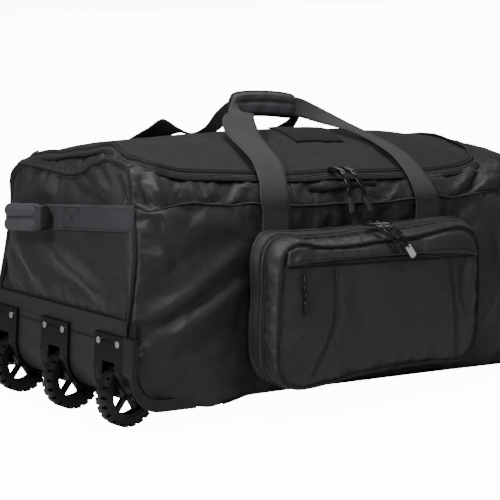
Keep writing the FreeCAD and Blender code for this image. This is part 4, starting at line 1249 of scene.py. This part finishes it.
face = ring_sheet(ring_front, FACE, 121, 71)


def drawn(*places):
    """a line on the flat face"""
    return [(x, FACE, z) for x, z in places]


seam_left = drawn((306, 200), (310, 145), (307, 107), (290, 71), (268, 28))
seam_right = drawn((538, 200), (547, 161), (553, 129), (561, 81), (569, 36))
face_soft = edge_fade(face, 3)
face[..., 1] -= 6.0 * dome(face, 0.35, 0.5) + face_soft * (
    1.2 * ripple(face, 80, 95) + 0.6 * ripple(face, 32, 96)
    + folds(face, [
        (seam_left, -3.4, 4),
        (seam_right, -3.2, 4),
        (drawn((320, 190), (324, 120), (300, 50)), 1.8, 12),
        (drawn((216, 190), (240, 150), (268, 120)), 2.8, 10),
        (drawn((212, 60), (236, 90), (262, 112)), 3.0, 9),
        (drawn((222, 40), (250, 52), (276, 56)), -2.6, 8),
        (drawn((592, 196), (582, 160), (592, 120)), 6.5, 9),
        (drawn((578, 190), (570, 150), (580, 108)), -4.5, 8),
        (drawn((440, 40), (470, 56), (500, 44)), 2.4, 9),
        (drawn((350, 196), (420, 180), (500, 186)), 1.8, 12),
    ])
)
strip_steps = np.linspace(0, 1, 9)
strip_depth = (ZIP_AT - 5.5) + (FACE - ZIP_AT + 5.5) * strip_steps
strip = np.stack([pocket_ring(d) for d in strip_depth], 1)
strip += ring_out[:, None] * (2.0 * np.sin(np.pi * strip_steps) + 0.6)[None, :, None]
pocket_face = Piece("pocket_face", pocket_cloth, thread_cloth, binding)
pocket_face.sheet(face, 0, POCKET_MIDDLE)
pocket_face.sheet(strip, 0, POCKET_MIDDLE, loop=True)
pocket_front = pocket_face.make(
    None, "pocket_fabric", ["pocket_door_panel", "pocket_tray"], bend=POCKET_BEND, thick=2,
    cloth=(3, 0.02, 4))
face = settled(pocket_front, face)


def on_face(x, z):
    """the pocket face's depth at a place"""
    return depth_on(face, x, z, (0, 2), 1)


trim = Piece("pocket_trim", binding, thread_cloth)
trim.tube(face_ring + np.array([0, -1.2, 0]), 2.6, 0, loop=True)
inner_ring = face_ring - ring_out * 6.5
inner_ring[:, 1] = on_face(inner_ring[:, 0], inner_ring[:, 2]) - 0.7
trim.stitches(inner_ring, ahead, mark=1)
for seam in (seam_left, seam_right):
    line = curve(seam)(np.linspace(0, 1, 50))
    for shift in (-3.6, 3.6):
        run = line + np.array([shift, 0, 0])
        run[:, 1] = on_face(run[:, 0], run[:, 2]) - 0.4
        trim.stitches(run, facing((0, -1, 0), 50), mark=1)
trim.make(None, "pocket_fabric", bend=POCKET_BEND)

flap = Piece("pocket_flap", pocket_cloth, thread_cloth)
flap_low = curve([(211, 0, 200), (241, 0, 203), (299, 0, 205), (419, 0, 207), (503, 0, 206),
                  (560, 0, 203), (597, 0, 199)])(np.linspace(0, 1, 101))
flap_high = curve([(214, 0, 221), (232, 0, 227), (278, 0, 222), (337, 0, 221), (400, 0, 225),
                   (479, 0, 230), (540, 0, 238), (573, 0, 236),
                   (592, 0, 222)])(np.linspace(0, 1, 101))
drop = np.linspace(0, 1, 9)
hood = flap_low[:, None] * (1 - drop)[None, :, None] + flap_high[:, None] * drop[None, :, None]
proud = np.interp(drop, [0, 0.12, 0.3, 0.8, 1], [3.4, 5.2, 4.4, 3.0, 0.8])
hood[..., 1] = on_face(hood[..., 0], hood[..., 2]) - proud[None, :]
hood[..., 1] -= 0.6 * ripple(hood, 40, 97)
flap.sheet(hood, 0, POCKET_MIDDLE)
flap.stitches(hood[:, 2] + np.array([0, -0.5, 0]), facing((0, -1, 0), 101), mark=1)
flap.make("pocket_door", "pocket_fabric", ["slip_flap"], thick=1.6)

slip_line = between((216, 0, 203), (600, 0, 203), 150)
slip_line[:, 1] = on_face(slip_line[:, 0], slip_line[:, 2]) - 1.0
slip = Piece("slip_zip", zip_cloth, coil_plastic)
slip_up, slip_over = facing((0, -1, 0), 150), facing((0, 0, 1), 150)
slip.sweep(slip_line, slip_over, slip_up, tape(-6, 6, -0.8, 1.0), 0)
for at in (-1.2, 1.2):
    coil(slip, slip_line, slip_over, slip_up, at, 0.8, 1, radius=0.9)
slip.make("pocket_door", "zip", ["slip_zip_tape"])

# ---------------------------------------------------------------- webbing and handles

for name, node, x0, x1, y, low, side in (
    ("front_strap_left", "front_webbing_left", 219, 272, -206, 244, -1),
    ("front_strap_right", "front_webbing_right", 529, 582, -206, 246, -1),
    ("rear_strap_left", "rear_webbing_left", 220, 272, 204.5, 4, 1),
    ("rear_strap_right", "rear_webbing_right", 529, 581, 204.5, 4, 1),
):
    leg = Piece(name, strap_cloth, thread_cloth)
    middle = (low + 274) / 2
    strap(leg, [(x0, y, low), (x0, y, middle), (x0, y - 0.3, 274)],
          [(x1, y, low), (x1, y, middle), (x1, y - 0.3, 274)], steps=30, hem=1)
    centre = ((x0 + x1) / 2, y, 262)
    if side > 0:
        box_stitch(leg, centre, (1, 0, 0), (0, 0, 1), 40, 20, (0, side, 0), 1)
    leg.make("bag_body", "webbing", [node])


def handle_bend(handle, side):
    """the two bodies of a carry strap and two points just above its sewn ends"""
    return ("bag_body", handle, (400, side * 204, 273), (400, side * 204, 299))


front_handle = Piece("front_handle_strap", strap_cloth, thread_cloth)
left_edges = (
    [(219, -206, 271), (213, -206.5, 293), (216, -199, 316), (224, -170, 344), (234, -125, 362),
     (243, -88, 374), (251, -62, 386), (262, -46, 399), (276, -37, 406), (287, -26, 403),
     (295, -18, 410), (306, -11, 424), (324, -7, 430), (345, -6, 430)],
    [(272, -206, 271), (266, -206.5, 293), (270, -196, 315), (284, -165, 341), (294, -120, 362),
     (303, -88, 375), (314, -64, 388), (322, -47, 399), (328, -38, 405), (328, -27, 400),
     (322, -18, 398), (322, -12, 402), (331, -8, 406), (345, -6, 408)],
)
right_edges = (
    [(529, -206, 271), (523, -206.5, 293), (519, -196, 315), (519, -162, 343), (517, -130, 358),
     (510, -98, 371), (498, -72, 380), (482, -44, 386), (464, -24, 392), (444, -12, 398),
     (400, -6, 406)],
    [(582, -206, 271), (569, -206.5, 293), (562, -194, 314), (560, -160, 341), (552, -128, 358),
     (536, -94, 373), (514, -64, 388), (492, -36, 404), (468, -18, 418), (444, -9, 428),
     (400, -6, 430)],
)
for edges in (left_edges, right_edges):
    strap(front_handle, *edges, hem=1)
front_handle.make(None, "webbing", ["front_handle_webbing"],
                  bend=handle_bend("front_handle", -1))

rear_handle = Piece("rear_handle_strap", strap_cloth, thread_cloth)
rear_left = (
    [(220, 205, 271), (218, 203.6, 285), (219, 200.6, 299), (221, 196, 320), (236, 170, 348),
     (254, 140, 370), (266, 118, 386), (280, 98, 374), (292, 76, 366), (300, 50, 378), (306, 28, 404),
     (322, 12, 424), (345, 6, 430)],
    [(272, 205, 271), (270, 203.6, 285), (270, 200.6, 298), (272, 194, 318), (284, 168, 343),
     (298, 140, 358), (304, 118, 364), (308, 98, 361), (312, 76, 361), (318, 50, 368), (324, 28, 384),
     (332, 13, 400), (345, 6, 408)],
)
rear_right = (
    [(529, 205, 271), (531, 203.6, 285), (530, 200.6, 299), (528, 196, 318), (518, 168, 347),
     (506, 130, 366), (494, 92, 378), (480, 60, 386), (466, 36, 392), (452, 20, 397), (438, 11, 402),
     (400, 6, 408)],
    [(581, 205, 271), (580, 203.6, 285), (579, 200.6, 298), (576, 194, 318), (564, 166, 346),
     (548, 130, 366), (528, 94, 382), (508, 62, 398), (488, 36, 412), (466, 18, 422), (442, 10, 428),
     (400, 6, 430)],
)
for edges in (rear_left, rear_right):
    strap(rear_handle, *edges, hem=1)
rear_handle.make(None, "webbing", ["rear_handle_webbing"],
                 bend=handle_bend("rear_handle", 1))


def wrap_half(name, side, node):
    """one side of the padded wrap: a plump flat pad, bound round its edge, creased lengthwise"""
    pad = Piece(name, grip_cloth, binding, thread_cloth)
    nu, nv = 57, 21
    u, v = np.meshgrid(np.linspace(-1, 1, nu), np.linspace(-1, 1, nv), indexing="ij")
    round_x = u * (1 - 0.05 * v ** 2)
    centre, half = (373, 67) if side < 0 else (384, 58)
    x = centre + half * round_x
    corner = (1 - np.abs(u) ** 7) ** 0.35
    tall = 18.5 if side < 0 else 15.5
    z = 415.5 + 4 * (1 - u ** 2) - 1.5 * u + tall * v * (0.72 + 0.28 * corner)
    thick = ((1 - u ** 8) * (1 - v ** 6)).clip(0) ** 0.5
    plump = 6.5 * thick + 0.8 * ripple(np.stack([x, 0 * x, z], -1), 40, 101 + side)
    plump -= 2.2 * np.exp(-((v - 0.15) / 0.16) ** 2) * (1 - u ** 4)
    plump = plump.clip(0)
    outer = np.stack([x, side * (6.0 + plump), z], -1)
    inner = np.stack([x, side * (0.2 + 0 * x), z], -1)
    pad.sheet(outer, 0, (371, side * -200, 421))
    pad.sheet(inner, 0, (371, side * 200, 421))
    for edge in ((slice(None), 0), (slice(None), -1), (0, slice(None)), (-1, slice(None))):
        pad.sheet(np.stack([outer[edge], inner[edge]], 1), 0, (371, 0, 421))
    rim = np.concatenate([outer[:, 0], outer[-1, 1:], outer[::-1, -1][1:], outer[0, ::-1][1:-1]])
    pad.tube(rim + np.array([0, -side * 1.2, 0]), 2.3, 1, loop=True)
    shrink = (rim - rim.mean(0)) * np.array([0.93, 1, 0.72]) + rim.mean(0)
    shrink[:, 1] = side * 12.2
    pad.stitches(shrink, facing((0, side, 0), len(shrink)), mark=2)
    made = pad.make(name.replace("_wrap", "_handle"), "grip_fabric", [node])


wrap_half("front_wrap", -1, "front_grip_pad")
wrap_half("rear_wrap", 1, "rear_grip_pad")


def end_handle(name, grip_name, panel, x0, way, slope, near, far_end, nodes_for):
    """a strap sewn across an end, standing off it in a loop with two padded rolls on it"""
    handle = Piece(name, end_strap_cloth, thread_cloth)
    start, finish = (-190, 140) if way < 0 else (-190, 190)

    def spot(y, stand, z):
        return (x0 + way * stand, y, z + slope * (y + 80))

    if way < 0:
        rows = [(y, 0.5) for y in range(start, 6, 14)]
        rows += [(14, 13), (9, 24), (-2, 34), (-11, 41), (-9, 46), (6, 44), (24, 42), (48, 42),
                 (72, 42), (88, 41), (97, 32), (103, 20), (112, 9), (124, 5), (finish, 1.0)]
    else:
        rows = [(y, 0.5) for y in range(start, -70, 14)]
        rows += [(-66, 20), (-58, 28), (-48, 36), (-24, 38), (24, 38), (48, 36), (58, 28), (66, 20)]
        rows += [(y, 0.5) for y in range(80, finish + 1, 14)]

    def laid(y, stand, z):
        """a sewn stretch lies on the panel, wherever the panel has settled"""
        if stand < 13:
            surface = way * (float(depth_on(panel, y, z + slope * (y + 80), (1, 2), 0)) - x0)
            stand = max(stand, surface + 1.8)
        return spot(y, stand, z)

    low = [laid(y, s, 240) for y, s in rows]
    high = [laid(y, s, 277) for y, s in rows]
    strap(handle, low, high, thick=2.6, steps=110, hem=1)
    for y in (near - 37, far_end + 26):
        if y < finish - 20:
            box_stitch(handle, laid(y, 0.0, 258.5), (0, 1, slope), (0, 0, 1), 40, 30,
                       (way, 0, 0), 1)
    handle.make("bag_body", "webbing", nodes_for[:1])
    grip = Piece(grip_name, grip_cloth, thread_cloth)
    long = np.linspace(0, 1, 61)
    start, length = near + 8, far_end - near - 24
    turns = np.linspace(0, 2 * np.pi, 24, endpoint=False)
    ends = (1 - np.abs(2 * long - 1) ** 9) ** 0.5
    for z in (248.5, 269):
        path = np.array([spot(start + t * length, 40 + 1.5 * math.sin(math.pi * t), z) for t in long])
        fat = (0.1 + 0.9 * ends) * (1 + 0.04 * ripple(path, 26, int(z)))
        oval = np.stack([np.cos(turns) * 10.6, np.sin(turns) * 7.6], -1)
        grip.sweep(path, facing((0, 0, 1), 61), facing((way, 0, 0), 61),
                   fat[:, None, None] * oval[None], 0)
    for z in (241, 277):
        edge = np.array([spot(start + 4 + t * (length - 8), 46.2, z) for t in long])
        grip.stitches(edge, facing((way, 0, 0), 61), mark=1)
    made = grip.make("bag_body", "grip_fabric", nodes_for[1:])


end_handle("end_handle_strap", "end_handle_roll", end, 0, -1, -0.095, -12, 106,
           ["end_handle_webbing", "end_handle_grip"])
end_handle("tow_handle_strap", "tow_handle_roll", far, 800, 1, 0.0, -62, 62,
           ["tow_handle_webbing", "tow_handle_grip"])

# ---------------------------------------------------------------- sliders and pulls


def pull(name, body, route, tip_material=None, thick=2.5, tip=24):
    """a cord loop through the slider, with a moulded end; the route ends where the end starts"""
    made = Piece(name, pull_rubber, tip_material or pull_rubber)
    path = curve(route)(np.linspace(0, 1, 30))
    way = unit(path[-1] - path[-3])
    side = unit(np.cross(way, (0, 1, 0)))
    swing = np.linspace(0, 3.5 * np.pi, 30)
    for s in (0, np.pi):
        twist = side * (np.cos(swing + s) * thick * 1.08)[:, None]
        twist[:, 1] += np.sin(swing + s) * thick * 0.5
        made.tube(path + twist, thick)
    bar = between(path[-1] - way * 3, path[-1] + way * tip, 17)
    t = np.linspace(0, 1, 17)
    fat = np.interp(t, [0, 0.05, 0.12, 0.5, 0.9, 0.97, 1], [2.8, 4.8, 5.3, 5.7, 5.9, 5.0, 2.8])
    turns = np.linspace(0, 2 * np.pi, 12, endpoint=False)
    oval = np.stack([np.cos(turns), np.sin(turns) * 0.6], -1)
    made.sweep(bar, facing(side, 17), facing(np.cross(way, side), 17), fat[:, None, None] * oval[None], 1)
    made.make(body, "pull_rubber", [body], smooth=1)


pull("cord_lid_left", "lid_pull_left",
     [(372, -190, 334), (373, -206, 327), (376, -215, 310), (380, -217, 289)], coil_plastic)
pull("cord_lid_right", "lid_pull_right",
     [(392, -190, 334), (396, -206, 326), (402, -215, 309), (411, -218, 289)], coil_plastic)
pull("cord_pocket_left", "pocket_pull_left",
     [(394, -246, 254), (399, -266, 252), (409, -280, 241), (422, -284, 224)], tip=18)
pull("cord_pocket_right", "pocket_pull_right",
     [(408, -246, 254), (414, -266, 252), (427, -281, 240), (441, -286, 220)], pale_pull, tip=19)
pull("cord_slip", "slip_pull",
     [(243, -278, 190), (243, -282, 178), (244, -283, 160), (246, -283, 146)], thick=1.6, tip=20)

# ---------------------------------------------------------------- the CAD parts that stay

keep = {
    "kick_plate": (kick_plastic, 0.8), "corner_rail_front": (rail_plastic, 1.0),
    "corner_rail_rear": (rail_plastic, 1.0), "housing_rivets": (rivet_steel, 0.6),
    "wheel_axles": (rivet_steel, 0.4), "base_board": (board_plastic, 0.5),
    "wheel_end_board": (board_plastic, 0.5),
}
for place in ("front", "middle", "rear"):
    keep["wheel_housing_" + place] = (housing_plastic, 0.8)
    keep["tyre_" + place] = (tyre_rubber, 0.7)
    keep["rim_" + place] = (rim_plastic, 0.4)
    keep["bush_" + place] = (bush_plastic, 0.3)
for slider in ("lid_slider_left", "lid_slider_right", "pocket_slider_left",
               "pocket_slider_right", "slip_slider"):
    keep[slider] = (slider_metal, 0.5)
for name, (material, rounding) in keep.items():
    part = nodes[name]
    for place in part.material_slots:
        place.material = material
    weld = part.modifiers.new("weld", "WELD")
    weld.merge_threshold = 0.00001
    bevel = part.modifiers.new("bevel", "BEVEL")
    bevel.width = rounding / 1000
    bevel.segments = 2
    bevel.limit_method = "ANGLE"
    bevel.angle_limit = math.radians(40)
    bevel.harden_normals = True

bpy.context.view_layer.update()
low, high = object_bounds()
